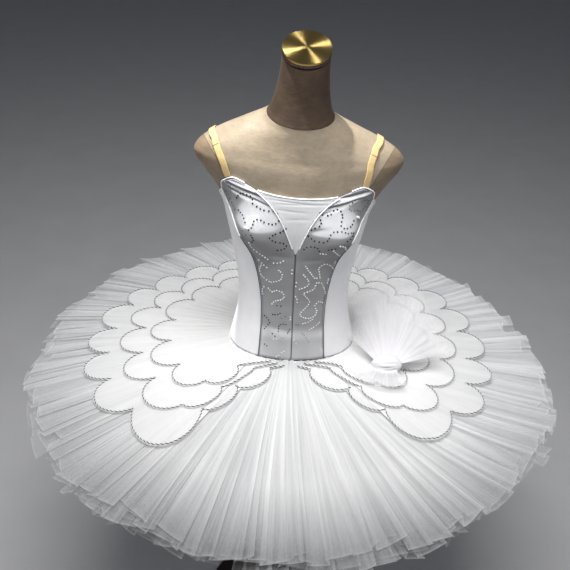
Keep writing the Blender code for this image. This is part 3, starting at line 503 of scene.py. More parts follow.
# -------------------------------------------------------------- materials
class Nodes:
    """Short names for the nodes of one material."""

    def __init__(self, name):
        self.material = bpy.data.materials.new(name)
        self.material.use_nodes = True
        self.tree = self.material.node_tree
        self.shader = self.tree.nodes["Principled BSDF"]
        self.out = self.tree.nodes["Material Output"]

    def node(self, kind, **settings):
        made = self.tree.nodes.new(kind)
        for key, value in settings.items():
            setattr(made, key, value)
        return made

    def link(self, a, b):
        self.tree.links.new(a, b)

    def put(self, socket, value):
        if isinstance(value, bpy.types.NodeSocket):
            self.link(value, socket)
        else:
            socket.default_value = value

    def uv(self, scale=(1, 1, 1), turn=0.0):
        source = self.node("ShaderNodeUVMap", uv_map="Flat")
        spot = self.node("ShaderNodeMapping")
        spot.inputs["Scale"].default_value = scale
        spot.inputs["Rotation"].default_value = (0, 0, turn)
        self.link(source.outputs["UV"], spot.inputs["Vector"])
        return spot.outputs["Vector"]

    def place(self, scale=(1, 1, 1)):
        source = self.node("ShaderNodeTexCoord")
        spot = self.node("ShaderNodeMapping")
        spot.inputs["Scale"].default_value = scale
        self.link(source.outputs["Object"], spot.inputs["Vector"])
        return spot.outputs["Vector"]

    def noise(self, vector, scale=1.0, detail=2.0, roughness=0.5):
        made = self.node("ShaderNodeTexNoise")
        made.inputs["Scale"].default_value = scale
        made.inputs["Detail"].default_value = detail
        made.inputs["Roughness"].default_value = roughness
        self.link(vector, made.inputs["Vector"])
        return made.outputs["Fac"]

    def cells(self, vector, scale=1.0, feature="DISTANCE_TO_EDGE", random=0.25):
        made = self.node("ShaderNodeTexVoronoi", feature=feature)
        made.inputs["Scale"].default_value = scale
        made.inputs["Randomness"].default_value = random
        self.link(vector, made.inputs["Vector"])
        return made.outputs["Distance"]

    def wave(self, vector, scale=1.0, direction="X", distortion=0.0, profile="SIN"):
        made = self.node("ShaderNodeTexWave", bands_direction=direction,
                         wave_profile=profile)
        made.inputs["Scale"].default_value = scale
        made.inputs["Distortion"].default_value = distortion
        self.link(vector, made.inputs["Vector"])
        return made.outputs["Fac"]

    def level(self, value, low, high, to_low=0.0, to_high=1.0, smooth=False):
        made = self.node("ShaderNodeMapRange")
        made.interpolation_type = "SMOOTHSTEP" if smooth else "LINEAR"
        for key, v in (("From Min", low), ("From Max", high), ("To Min", to_low),
                       ("To Max", to_high)):
            made.inputs[key].default_value = v
        self.put(made.inputs["Value"], value)
        return made.outputs["Result"]

    def maths(self, operation, a, b=0.0, c=0.0, clamp=False):
        made = self.node("ShaderNodeMath", operation=operation, use_clamp=clamp)
        self.put(made.inputs[0], a)
        self.put(made.inputs[1], b)
        self.put(made.inputs[2], c)
        return made.outputs["Value"]

    def mix(self, share, a, b, blend="MIX"):
        made = self.node("ShaderNodeMix", data_type="RGBA", blend_type=blend)
        self.put(made.inputs["Factor"], share)
        for socket, value in ((made.inputs[6], a), (made.inputs[7], b)):
            self.put(socket, value if isinstance(value, bpy.types.NodeSocket)
                     else (*value, 1.0) if len(value) == 3 else value)
        return made.outputs[2]

    def attribute(self, name):
        made = self.node("ShaderNodeAttribute", attribute_name=name)
        return made.outputs["Fac"]

    def bump(self, height, distance, strength=1.0, after=None):
        made = self.node("ShaderNodeBump")
        made.inputs["Strength"].default_value = strength
        made.inputs["Distance"].default_value = distance
        self.link(height, made.inputs["Height"])
        if after is not None:
            self.link(after, made.inputs["Normal"])
        return made.outputs["Normal"]

    def set(self, **values):
        for key, value in values.items():
            socket = self.shader.inputs[key.replace("_", " ")]
            if isinstance(value, tuple) and len(value) == 3:
                value = (*value, 1.0)
            self.put(socket, value)
        return self


def net_material(name, light, shade, thin, glow=0.40, streak=1.0, weave=0.12):
    """Stiff net: open between its threads, denser where the 'cover' attribute says."""
    m = Nodes(name)
    fine = m.noise(m.uv((230.0, 5.0, 1.0)), 1.0, 1.0, 0.6)
    broad = m.noise(m.uv((62.0, 2.5, 1.0)), 1.0, 0.0, 0.5)
    streaks = m.maths("MULTIPLY_ADD", fine, 0.5, m.maths("MULTIPLY", broad, 0.5))
    shaded = m.maths("ADD", m.level(streaks, 0.30, 0.70),
                     m.maths("MULTIPLY", m.attribute("tint"), 0.22), clamp=True)
    colour = m.mix(shaded, shade, light)
    colour = m.mix(m.level(m.attribute("warm"), -1.0, 1.0), colour,
                   m.mix(1.0, colour, (1.0, 0.992, 0.975), "MULTIPLY"))
    # Painted shade: greys the net's outer ends towards the front.
    colour = m.mix(m.attribute("worn"), colour,
                   m.mix(1.0, colour, (0.52, 0.525, 0.535), "MULTIPLY"))
    m.set(Base_Color=colour, Roughness=0.75)
    m.shader.inputs["Specular IOR Level"].default_value = 0.25
    m.shader.inputs["Sheen Weight"].default_value = 0.15
    m.shader.inputs["Sheen Roughness"].default_value = 0.4
    m.set(Normal=m.bump(streaks, 0.0010, 0.35 * streak))
    first = m.wave(m.uv((1.0, 1.0, 1.0), math.radians(58)), 230.0, "X")
    second = m.wave(m.uv((1.0, 1.0, 1.0), math.radians(-58)), 230.0, "X")
    thread = m.level(m.maths("MAXIMUM", first, second), 0.45, 1.0, -weave, weave)
    cover = m.maths("ADD", m.attribute("cover"), thread)
    cover = m.maths("ADD", cover, m.level(streaks, 0.3, 0.7, -0.09 * streak, 0.09 * streak),
                    clamp=True)
    cover = m.maths("MAXIMUM", cover, thin)
    through = m.node("ShaderNodeBsdfTranslucent")
    m.link(colour, through.inputs["Color"])
    body = m.node("ShaderNodeMixShader")
    body.inputs["Fac"].default_value = glow
    m.link(m.shader.outputs["BSDF"], body.inputs[1])
    m.link(through.outputs["BSDF"], body.inputs[2])
    clear = m.node("ShaderNodeBsdfTransparent")
    whole = m.node("ShaderNodeMixShader")
    m.link(cover, whole.inputs["Fac"])
    m.link(clear.outputs["BSDF"], whole.inputs[1])
    m.link(body.outputs["Shader"], whole.inputs[2])
    m.link(whole.outputs["Shader"], m.out.inputs["Surface"])
    return m.material


def satin_material(name, light, dark, roughness, metallic=0.0, sheen=0.2, weave=1.0,
                   specular=0.5, painted_top_light=()):
    """Stretch satin: fine crosswise ribs, faint blotches and a broad gloss.

    Pairs of (the face's upward share, brightness) paint highlight and shade into the colour: lighter
    where a face turns up, darker where it turns down.
    """
    m = Nodes(name)
    ribs = m.wave(m.uv((1.0, 1.0, 1.0)), 520.0, "Y")
    threads = m.noise(m.uv((2400.0, 260.0, 1.0)), 1.0, 1.0)
    blotch = m.noise(m.uv(), 38.0, 3.0)
    share = m.maths("MULTIPLY_ADD", blotch, 0.7, m.maths("MULTIPLY", threads, 0.3))
    colour = m.mix(m.level(share, 0.3, 0.7), dark, light)
    if painted_top_light:
        way = m.node("ShaderNodeTexCoord")
        split = m.node("ShaderNodeSeparateXYZ")
        m.link(way.outputs["Normal"], split.inputs["Vector"])
        curve = m.node("ShaderNodeFloatCurve")
        line = curve.mapping.curves[0]
        for i, (turn, bright) in enumerate(painted_top_light):
            at = ((turn + 1) / 2, bright)
            if i < 2:
                line.points[i].location = at
            else:
                line.points.new(*at)
        curve.mapping.update()
        m.link(m.level(split.outputs["Z"], -1.0, 1.0), curve.inputs["Value"])
        colour = m.mix(1.0, colour, curve.outputs["Value"], "MULTIPLY")
    m.set(Base_Color=colour,
          Roughness=m.level(threads, 0.2, 0.8, roughness - 0.05, roughness + 0.07))
    m.shader.inputs["Metallic"].default_value = metallic
    m.shader.inputs["Specular IOR Level"].default_value = specular
    m.shader.inputs["Sheen Weight"].default_value = sheen
    m.shader.inputs["Sheen Roughness"].default_value = 0.35
    weft = m.bump(ribs, 0.00022, 0.35 * weave)
    m.set(Normal=m.bump(threads, 0.0003, 0.35 * weave, weft))
    return m.material


def cord_material(name, light, dark, metallic, roughness):
    m = Nodes(name)
    fibre = m.noise(m.uv((900.0, 6.0, 1.0)), 1.0, 2.0)
    m.set(Base_Color=m.mix(m.level(fibre, 0.3, 0.7), dark, light), Roughness=roughness)
    m.shader.inputs["Metallic"].default_value = metallic
    m.set(Normal=m.bump(fibre, 0.0002, 0.5))
    return m.material


MATERIAL = {}
MATERIAL["top_net"] = net_material("top_net", (0.92, 0.925, 0.94), (0.73, 0.74, 0.76), 0.06)
# The lower nets are a darker copy of the top net: painted shade for the shadow the upper layers cast
# on them.
MATERIAL["under_net"] = net_material("under_net", (0.74, 0.745, 0.755), (0.60, 0.605, 0.615), 0.04)
MATERIAL["overlay_net"] = net_material("overlay_net", (0.99, 0.99, 0.995), (0.95, 0.955, 0.965),
                                       0.40, streak=0.5, weave=0.06)
MATERIAL["bow_net"] = net_material("bow_net", (0.96, 0.955, 0.98), (0.87, 0.865, 0.90), 0.10,
                                   streak=0.6, weave=0.08)
# Painted highlight and shade: the silver satin is lighter on faces that turn up and darker on faces
# that turn down.
MATERIAL["silver_satin"] = satin_material(
    "silver_satin", (0.98, 0.98, 1.0), (0.84, 0.84, 0.87), 0.34, metallic=0.30, sheen=0.1,
    painted_top_light=[(-1.0, 0.20), (-0.40, 0.21), (-0.25, 0.25), (-0.10, 0.36), (0.02, 0.42),
            (0.08, 0.46), (0.14, 0.66), (0.20, 0.94), (0.26, 1.0), (1.0, 1.0)])
MATERIAL["plastron_satin"] = satin_material("plastron_satin", (0.72, 0.73, 0.74),
                                            (0.70, 0.71, 0.725), 0.40, metallic=0.15)
MATERIAL["white_satin"] = satin_material("white_satin", (0.975, 0.97, 0.99),
                                         (0.92, 0.915, 0.945), 0.45, sheen=0.4)
MATERIAL["binding"] = cord_material("binding", (0.95, 0.945, 0.97), (0.84, 0.83, 0.88), 0.0, 0.5)
MATERIAL["dark_strand"] = cord_material("dark_strand", (0.055, 0.055, 0.06),
                                        (0.02, 0.02, 0.022), 0.2, 0.5)
MATERIAL["pale_strand"] = cord_material("pale_strand", (0.96, 0.96, 0.98),
                                        (0.82, 0.82, 0.85), 0.1, 0.4)
MATERIAL["dark_braid"] = cord_material("dark_braid", (0.22, 0.22, 0.25),
                                       (0.10, 0.10, 0.12), 0.3, 0.45)


def elastic_material():
    m = Nodes("gold_elastic")
    ribs = m.wave(m.uv(), 330.0, "X")
    grain = m.noise(m.uv((900.0, 250.0, 1.0)), 1.0, 2.0)
    share = m.maths("MULTIPLY_ADD", ribs, 0.5, m.maths("MULTIPLY", grain, 0.5))
    m.set(Base_Color=m.mix(share, (0.72, 0.48, 0.18), (0.93, 0.73, 0.38)), Roughness=0.38)
    m.shader.inputs["Sheen Weight"].default_value = 0.3
    m.shader.inputs["Specular IOR Level"].default_value = 0.6
    m.set(Normal=m.bump(share, 0.0003, 0.5))
    return m.material


def form_material(name, light, dark, roughness, sheen, gloss):
    """Satin jersey stretched over the form."""
    m = Nodes(name)
    weft = m.noise(m.place((160.0, 160.0, 1500.0)), 1.0, 1.0)
    warp = m.noise(m.place((1300.0, 1300.0, 90.0)), 1.0, 1.0)
    blotch = m.noise(m.place((22.0, 22.0, 34.0)), 1.0, 3.0, 0.6)
    crush = m.noise(m.place((70.0, 70.0, 120.0)), 1.0, 2.0, 0.6)
    thread = m.maths("MULTIPLY_ADD", weft, 0.5, m.maths("MULTIPLY", warp, 0.5))
    share = m.maths("MULTIPLY_ADD", blotch, 0.45, m.maths("MULTIPLY_ADD", crush, 0.25,
                    m.maths("MULTIPLY", thread, 0.30)))
    m.set(Base_Color=m.mix(m.level(share, 0.35, 0.65), dark, light),
          Roughness=m.level(thread, 0.3, 0.7, roughness - 0.05, roughness + 0.06))
    m.shader.inputs["Sheen Weight"].default_value = sheen
    m.shader.inputs["Sheen Roughness"].default_value = 0.3
    m.shader.inputs["Specular IOR Level"].default_value = gloss
    soft = m.bump(m.maths("ADD", blotch, m.maths("MULTIPLY", crush, 0.35)), 0.004, 0.30)
    m.set(Normal=m.bump(thread, 0.0004, 0.4, soft))
    return m.material


MATERIAL["gold_elastic"] = elastic_material()
MATERIAL["form_satin"] = form_material("form_satin", (0.50, 0.415, 0.315), (0.345, 0.283, 0.207),
                                       0.36, 0.30, 0.6)
# The neck's cover is darker than the torso's, and is darkened further as painted shade for its unlit
# sides under the cap.
MATERIAL["neck_satin"] = form_material("neck_satin", (0.105, 0.074, 0.053), (0.060, 0.041, 0.030),
                                       0.50, 0.10, 0.35)
MATERIAL["arm_cover"] = form_material("arm_cover", (0.32, 0.245, 0.17), (0.22, 0.165, 0.113),
                                      0.50, 0.10, 0.35)


def gold_material():
    m = Nodes("brushed_gold")
    where = m.node("ShaderNodeTexCoord")
    split = m.node("ShaderNodeVectorMath", operation="LENGTH")
    flat = m.node("ShaderNodeVectorMath", operation="MULTIPLY")
    flat.inputs[1].default_value = (1.0, 1.0, 0.0)
    m.link(where.outputs["Object"], flat.inputs[0])
    m.link(flat.outputs["Vector"], split.inputs[0])
    rings = m.node("ShaderNodeTexNoise", noise_dimensions="1D")
    rings.inputs["Scale"].default_value = 2600.0
    rings.inputs["Detail"].default_value = 3.0
    m.link(split.outputs["Value"], rings.inputs["W"])
    m.set(Base_Color=m.mix(rings.outputs["Fac"], (0.62, 0.42, 0.12), (0.92, 0.70, 0.30)),
          Roughness=m.level(rings.outputs["Fac"], 0.3, 0.7, 0.28, 0.36))
    m.shader.inputs["Metallic"].default_value = 1.0
    m.shader.inputs["Anisotropic"].default_value = 1.0
    m.shader.inputs["Anisotropic Rotation"].default_value = 0.25
    tangent = m.node("ShaderNodeTangent", direction_type="RADIAL", axis="Z")
    m.link(tangent.outputs["Tangent"], m.shader.inputs["Tangent"])
    m.set(Normal=m.bump(rings.outputs["Fac"], 0.00006, 0.35))
    return m.material


def plain_material(name, light, dark, roughness, metallic, scale, coat=0.0):
    m = Nodes(name)
    grain = m.noise(m.place(), scale, 3.0)
    m.set(Base_Color=m.mix(grain, dark, light),
          Roughness=m.level(grain, 0.3, 0.7, roughness - 0.05, roughness + 0.06))
    m.shader.inputs["Metallic"].default_value = metallic
    m.shader.inputs["Coat Weight"].default_value = coat
    m.set(Normal=m.bump(grain, 0.0002, 0.15))
    return m.material


MATERIAL["brushed_gold"] = gold_material()
# Painted shadow: the dark ring under the gold cap stands for the shadow gap beneath the disc.
MATERIAL["dark_rim"] = plain_material("dark_rim", (0.085, 0.028, 0.022), (0.035, 0.010, 0.009),
                                      0.30, 0.0, 60.0, 0.4)
MATERIAL["dark_metal"] = plain_material("dark_metal", (0.055, 0.045, 0.040),
                                        (0.028, 0.022, 0.020), 0.34, 0.75, 220.0)
MATERIAL["dark_stud"] = plain_material("dark_stud", (0.045, 0.045, 0.055),
                                       (0.012, 0.012, 0.016), 0.22, 0.2, 900.0, 0.25)
MATERIAL["pale_stud"] = plain_material("pale_stud", (0.98, 0.98, 1.0), (0.86, 0.87, 0.92),
                                       0.12, 0.15, 900.0, 0.8)
MATERIAL["grey_stud"] = plain_material("grey_stud", (0.20, 0.20, 0.23), (0.10, 0.10, 0.12),
                                       0.20, 0.2, 900.0, 0.3)


# ------------------------------------------------------- camera and light
def look(position, pitch, roll, lens):
    p, r = math.radians(pitch), math.radians(roll)
    ahead = Vector((0.0, math.cos(p), -math.sin(p)))
    right = Vector((1.0, 0.0, 0.0))
    up = right.cross(ahead)
    across = right * math.cos(r) + up * math.sin(r)
    over = up * math.cos(r) - right * math.sin(r)
    data = bpy.data.cameras.new("camera")
    data.lens, data.sensor_width = lens, 36.0
    data.clip_end = 200.0
    made = bpy.data.objects.new("camera", data)
    turn = Matrix((across, over, -ahead)).transposed().to_4x4()
    made.matrix_world = Matrix.Translation(position) @ turn
    scene.collection.objects.link(made)
    scene.camera = made


look((-0.017, -1.3613, 1.8044), 31.7, 2.08, 50.34)


def area_light(name, where, target, size, power, colour=(1, 1, 1), size_y=None):
    data = bpy.data.lights.new(name, "AREA")
    data.energy, data.color = power, colour
    data.size = size
    if size_y:
        data.shape, data.size_y = "RECTANGLE", size_y
    made = bpy.data.objects.new(name, data)
    made.location = where
    made.rotation_euler = (Vector(target) - Vector(where)).to_track_quat("-Z", "Y").to_euler()
    scene.collection.objects.link(made)
    return made


soft = [
    area_light("overhead", (-0.06, -0.50, 2.95), (0.0, -0.02, 0.9), 1.5, 76.0,
               (1.0, 0.998, 0.99), 1.1),
    area_light("side_left", (-3.7, -2.9, 2.35), (0.0, 0.0, 1.1), 2.0, 40.0, (0.97, 0.98, 1.0)),
    area_light("side_right", (3.7, -2.9, 2.35), (0.0, 0.0, 1.1), 2.0, 14.0, (0.97, 0.98, 1.0)),
]
form_lamp = area_light("overhead_form", (-0.06, -0.50, 2.95), (0.0, -0.02, 0.9), 1.5, 32.0,
                       (1.0, 0.985, 0.96), 1.1)
for made in soft + [form_lamp]:
    made.visible_glossy = False

# Two small lamps for the gold cap alone.
cap_lamps = [
    area_light("cap_lamp_a", (0.3212, -0.058, 2.90), (0.0062, 0.017, 1.43), 0.04, 2.6,
               (1.0, 0.97, 0.90)),
    area_light("cap_lamp_b", (-0.3238, 0.452, 2.825), (0.0062, 0.017, 1.43), 0.04, 2.6,
               (1.0, 0.97, 0.90)),
]

# A small lamp high behind the left of the picture, for the form and the bodice only.
lamp = bpy.data.lights.new("shoulder_lamp", "SPOT")
lamp.energy, lamp.color = 215.0, (1.0, 0.965, 0.90)
lamp.spot_size, lamp.spot_blend, lamp.shadow_soft_size = math.radians(24), 0.6, 0.03
lamp_at = Vector((-0.44, 0.40, 2.97))
lamp_object = bpy.data.objects.new("shoulder_lamp", lamp)
lamp_object.location = lamp_at
lamp_object.rotation_euler = (Vector((0.0, 0.0, 1.34)) - lamp_at).to_track_quat(
    "-Z", "Y").to_euler()
scene.collection.objects.link(lamp_object)

world = bpy.data.worlds.new("studio")
world.use_nodes = True
scene.world = world
world.node_tree.nodes["Background"].inputs["Color"].default_value = (0.80, 0.84, 0.92, 1.0)
world.node_tree.nodes["Background"].inputs["Strength"].default_value = 0.09

floor = bpy.data.meshes.new("floor")
floor.from_pydata([(-30, -30, 0), (30, -30, 0), (30, 30, 0), (-30, 30, 0)], [], [(0, 1, 2, 3)])
ground = bpy.data.objects.new("floor", floor)
scene.collection.objects.link(ground)
floor_paint = Nodes("floor_paint")
speck = floor_paint.noise(floor_paint.place(), 6.0, 4.0)
floor_paint.set(Base_Color=floor_paint.mix(speck, (0.44, 0.44, 0.455), (0.50, 0.50, 0.515)),
                Roughness=0.85)
floor_paint.shader.inputs["Specular IOR Level"].default_value = 0.1
floor.materials.append(floor_paint.material)

scene.view_settings.view_transform = "Standard"
scene.view_settings.look = "None"
scene.cycles.transparent_max_bounces = 32
scene.cycles.max_bounces = 5
scene.cycles.diffuse_bounces = 3
scene.cycles.glossy_bounces = 2
scene.cycles.transmission_bounces = 3
scene.render.film_transparent = False


# ------------------------------------------------------------- dress form
def merged_ring_mesh(name, rings):
    """A closed body through rings of points, its ends filled."""
    count = rings.shape[1]
    verts = rings.reshape(-1, 3)
    faces = [tuple(f) for f in grid_faces(len(rings), count, closed=True)]
    faces.append(tuple(range(count - 1, -1, -1)))
    faces.append(tuple(range(len(verts) - count, len(verts))))
    data = bpy.data.meshes.new(name)
    data.from_pydata([tuple(p) for p in verts], [], faces)
    return data


FORM_COLUMNS = 160
heights = np.concatenate([
    np.linspace(FORM_BOTTOM, 0.0, 14)[:-1], np.linspace(0.0, 0.40, 64)[:-1],
    np.linspace(0.40, 0.482, 46)])
angles = 360 * np.arange(FORM_COLUMNS) / FORM_COLUMNS
torso_rings = figure(angles[None, :], heights[:, None], 0.0, FORM_CUP_SHARE)
# The last rings roll in to a fine groove against the neck.
ring = torso_rings[-1:]
away = ring - ring.mean(axis=1, keepdims=True)
away /= np.linalg.norm(away, axis=2, keepdims=True)
torso_rings = np.concatenate([torso_rings] + [
    ring - away * inward - np.array([0, 0, down])
    for inward, down in ((0.0008, 0.0002), (0.0018, 0.0012))])
torso_mesh = merged_ring_mesh("torso", torso_rings)
torso_mesh.shade_smooth()


def arm_block(name, side, gap):
    build = bmesh.new()
    bmesh.ops.create_cube(build, size=1.0)
    for corner in build.verts:
        corner.co.x = side * (gap + (0.2 if corner.co.x * side > 0 else 0.0))
        corner.co.y *= 0.4
        corner.co.z = gap + (0.3 if corner.co.z > 0 else 0.0)
    bmesh.ops.recalc_face_normals(build, faces=build.faces)
    data = bpy.data.meshes.new(name)
    build.to_mesh(data)
    build.free()
    made = bpy.data.objects.new(name, data)
    scene.collection.objects.link(made)
    height = ARM_PLANE["underside"]
    x = ARM_PLANE["x"] + ARM_PLANE["slope"] * (height - ARM_PLANE["z"])
    made.location = (side * x, 0.0, height + SKIRT_HEIGHT)
    turn = math.atan(ARM_PLANE["turn"])
    made.rotation_euler = (0.0, side * math.atan(ARM_PLANE["slope"] * math.cos(turn)),
                           -side * turn)
    return made


def cut(source, steps):
    """The source mesh after Boolean steps, as a plain mesh."""
    made = bpy.data.objects.new("cutting", source.copy())
    scene.collection.objects.link(made)
    for kind, other in steps:
        step = made.modifiers.new(kind, "BOOLEAN")
        step.operation, step.object = kind, other
    bpy.context.view_layer.update()
    graph = bpy.context.evaluated_depsgraph_get()
    result = bpy.data.meshes.new_from_object(made.evaluated_get(graph))
    bpy.data.objects.remove(made)
    return result


blocks = {(side, gap): arm_block("block", side, gap) for side in (-1, 1) for gap in (0.0, 0.0004)}
torso_cut = cut(torso_mesh, [("DIFFERENCE", blocks[(1, 0.0)]), ("DIFFERENCE", blocks[(-1, 0.0)])])
cover_cut = {side: cut(torso_mesh, [("INTERSECT", blocks[(side, 0.0004)])]) for side in (-1, 1)}
for block in blocks.values():
    bpy.data.objects.remove(block)


def finish_form(name, data, material, replaces, soften):
    data.name = name
    data.materials.clear()
    data.shade_smooth()
    data.set_sharp_from_angle(angle=math.radians(32))
    made = add(name, data, material, replaces)
    if soften:
        rim = made.modifiers.new("rim", "BEVEL")
        rim.width, rim.segments, rim.limit_method = soften, 3, "ANGLE"
        rim.angle_limit = math.radians(40)
        rim.harden_normals = True
    return made


finish_form("torso_cover", torso_cut, MATERIAL["form_satin"], "form_torso", 0.0008)
for side, word in ((-1, "right"), (1, "left")):
    finish_form("arm_cover_" + word, cover_cut[side], MATERIAL["arm_cover"],
                "form_arm_cover_" + word, 0.0012)

neck_table = [Through([r[0] for r in NECK], [r[k] for r in NECK]) for k in range(1, 5)]
NECK_COLUMNS = 128
a = 2 * np.pi * np.arange(NECK_COLUMNS) / NECK_COLUMNS
neck_rings = []
for height in np.concatenate([[0.4828], np.linspace(0.4832, NECK[-1][0], 64)]):
    centre, half_width, half_depth, lean = [f(height) for f in neck_table]
    pull = 0.0008 if height < 0.4830 else 0.0
    sway = NECK_SWAY * max(0.0, (height - NECK[0][0]) / (NECK[-1][0] - NECK[0][0]))
    x, y = sway + (half_width - pull) * np.sin(a), centre - (half_depth - pull) * np.cos(a)
    neck_rings.append(np.stack([x, y, height + lean * (y - centre) + SKIRT_HEIGHT], -1))
neck_mesh = merged_ring_mesh("neck", np.array(neck_rings))
finish_form("neck_cover", neck_mesh, MATERIAL["neck_satin"], "form_neck", 0.0)

up = Vector((0.0, -math.sin(math.radians(CAP_TILT)), math.cos(math.radians(CAP_TILT))))
neck_end = Vector((NECK_SWAY, NECK[-1][1], NECK[-1][0] + SKIRT_HEIGHT))


def tilted(rise):
    return (Matrix.Translation(neck_end + up * rise)
            @ Matrix.Rotation(math.radians(CAP_TILT), 4, "X"))


def round_edge(radius, top, soft, steps=6):
    """A quarter round from the flat top to the wall."""
    return [(radius - soft + soft * math.sin(t * math.pi / 2 / steps),
             top - soft + soft * math.cos(t * math.pi / 2 / steps)) for t in range(steps + 1)]


# The ring under the cap is coloured dark as painted shadow for the gap beneath the disc.
lathe("cap_rim_ring", [(0.0, CAP_RIM_THICK)] + round_edge(CAP_RIM_RADIUS, CAP_RIM_THICK, 0.0010)
      + list(reversed([(x, CAP_RIM_THICK - y) for x, y in
                       round_edge(CAP_RIM_RADIUS, CAP_RIM_THICK, 0.0008)])) + [(0.0, 0.0)],
      160, MATERIAL["dark_rim"], "neck_cap_rim", tilted(0.0004))
lathe("cap_disc", [(0.0, CAP_THICK), (0.0004, CAP_THICK), (0.012, CAP_THICK), (0.030, CAP_THICK)]
      + round_edge(CAP_RADIUS, CAP_THICK, 0.0012, 8)
      + [(CAP_RADIUS, 0.0006), (CAP_RADIUS - 0.0006, 0.0), (0.0, 0.0)],
      192, MATERIAL["brushed_gold"], "neck_cap",
      tilted(0.0008 + CAP_RIM_THICK))

# ------------------------------------------------------------------ stand
FOOT_RADIUS, FOOT_THICK = 0.19, 0.010
POLE_RADIUS, COLLAR_RADIUS, COLLAR_HEIGHT = 0.0125, 0.026, 0.030
FLANGE_RADIUS, FLANGE_THICK = 0.048, 0.012
metal = MATERIAL["dark_metal"]


def rounded_profile(points, soft, steps=4):
    """A profile with its outer corners rounded off."""
    made = [points[0]]
    for before, at, after in zip(points, points[1:], points[2:]):
        before, at, after = np.array(before), np.array(at), np.array(after)
        reach = min(soft, 0.45 * np.linalg.norm(before - at), 0.45 * np.linalg.norm(after - at))
        first = at + (before - at) / np.linalg.norm(before - at) * reach
        last = at + (after - at) / np.linalg.norm(after - at) * reach
        for k in range(steps + 1):
            t = k / steps
            made.append(tuple((1 - t) ** 2 * first + 2 * t * (1 - t) * at + t**2 * last))
    made.append(points[-1])
    return made


collar_base = FOOT_THICK + 0.0004
pole_base = collar_base + COLLAR_HEIGHT + 0.0004
flange_top = SKIRT_HEIGHT + FORM_BOTTOM - 0.0004
pole_top = flange_top - FLANGE_THICK - 0.0004
lathe("foot_plate", rounded_profile([
    (0.0, FOOT_THICK), (0.07, FOOT_THICK), (FOOT_RADIUS - 0.012, FOOT_THICK - 0.003),
    (FOOT_RADIUS - 0.003, FOOT_THICK - 0.0055), (FOOT_RADIUS, 0.0030),
    (FOOT_RADIUS, 0.0), (0.0, 0.0)], 0.0012), 192, metal, "stand_foot")
lathe("pole_collar", rounded_profile([
    (0.0, COLLAR_HEIGHT), (POLE_RADIUS + 0.004, COLLAR_HEIGHT),
    (POLE_RADIUS + 0.007, COLLAR_HEIGHT - 0.003), (POLE_RADIUS + 0.008, 0.008),
    (COLLAR_RADIUS, 0.004), (COLLAR_RADIUS, 0.0), (0.0, 0.0)], 0.0012), 96, metal,
      "stand_collar", Matrix.Translation((0, 0, collar_base)))
lathe("pole_tube", rounded_profile([
    (0.0, pole_top - pole_base), (POLE_RADIUS, pole_top - pole_base),
    (POLE_RADIUS, 0.0), (0.0, 0.0)], 0.0008), 64, metal, "stand_pole",
      Matrix.Translation((0, 0, pole_base)))
lathe("flange_ring", rounded_profile([
    (0.0, FLANGE_THICK), (FLANGE_RADIUS, FLANGE_THICK), (FLANGE_RADIUS, 0.006),
    (0.020, 0.003), (0.018, 0.0), (0.0, 0.0)], 0.0010), 96, metal, "form_flange",
      Matrix.Translation((0, 0, flange_top - FLANGE_THICK)))


# ----------------------------------------------------------------- bodice
def edge_line(index, shift=0.0):
    return [(row[index][0] + shift, row[index][1]) for row in SEAMS]


def fold_depth(angle, height, folds):
    """Outward movement from soft folds: (angle, height) ends, width and depth in metres."""
    total = np.zeros(np.broadcast(angle, height).shape)
    x, y = angle * 0.0021, height + np.zeros_like(total)
    for (a0, h0), (a1, h1), wide, deep in folds:
        start, end = np.array([a0 * 0.0021, h0]), np.array([a1 * 0.0021, h1])
        way = end - start
        length = np.linalg.norm(way)
        way /= length
        along = (x - start[0]) * way[0] + (y - start[1]) * way[1]
        across = -(x - start[0]) * way[1] + (y - start[1]) * way[0]
        t = np.clip(along / length, 0, 1)
        taper = np.sin(np.pi * np.clip(t * 0.92 + 0.04, 0, 1)) ** 0.6
        outside = np.maximum(0, np.maximum(-along, along - length))
        total += deep * taper * np.exp(-((across / wide) ** 2) - (outside / wide) ** 2)
    return total


def panel_grid(edges, rows, columns, side, folds=(), off=CLEAR, ripple=0.0, seed=0):
    """Points and UV of a panel between two edges."""
    k = np.linspace(0, len(edges[0]) - 1, rows)
    (a0, h0), (a1, h1) = [[f(k)[:, None] for f in spread_through(e)] for e in edges]
    t = np.linspace(0, 1, columns)[None, :]
    angle = a0 + (a1 - a0) * t
    height = np.maximum(h0 + (h1 - h0) * t, BODICE_HEM)
    push = fold_depth(angle, height, folds)
    if ripple:
        rng = np.random.default_rng(seed)
        for _ in range(7):
            count, phase = rng.uniform(9, 26), rng.uniform(0, 6.28)
            slant, strength = rng.uniform(-9, 9), rng.uniform(0.3, 1.0)
            push = push + ripple * strength * np.sin(
                np.radians(angle) * count + slant * height + phase) * np.sin(
                height * rng.uniform(10, 30) + phase) / 2
    # Panels dip a little into their seams.
    near = np.minimum(t, 1 - t) * np.radians(np.abs(a1 - a0)) * 0.125
    push = push - 0.0007 * np.exp(-((near / 0.0022) ** 2))
    points = figure(angle, height, off + push)
    if side < 0:
        points = points[:, ::-1] * np.array([-1.0, 1.0, 1.0])
        angle = np.broadcast_to(angle, height.shape)[:, ::-1]
    across = np.concatenate([np.zeros((rows, 1)), np.cumsum(
        np.linalg.norm(np.diff(points, axis=1), axis=2), axis=1)], 1)
    middle = points[:, columns // 2]
    up_way = np.concatenate([[0], np.cumsum(np.linalg.norm(np.diff(middle, axis=0), axis=1))])
    uv = np.stack([across - across[:, columns // 2, None],
                   np.broadcast_to(up_way[:, None], across.shape)], -1)
    return points, uv


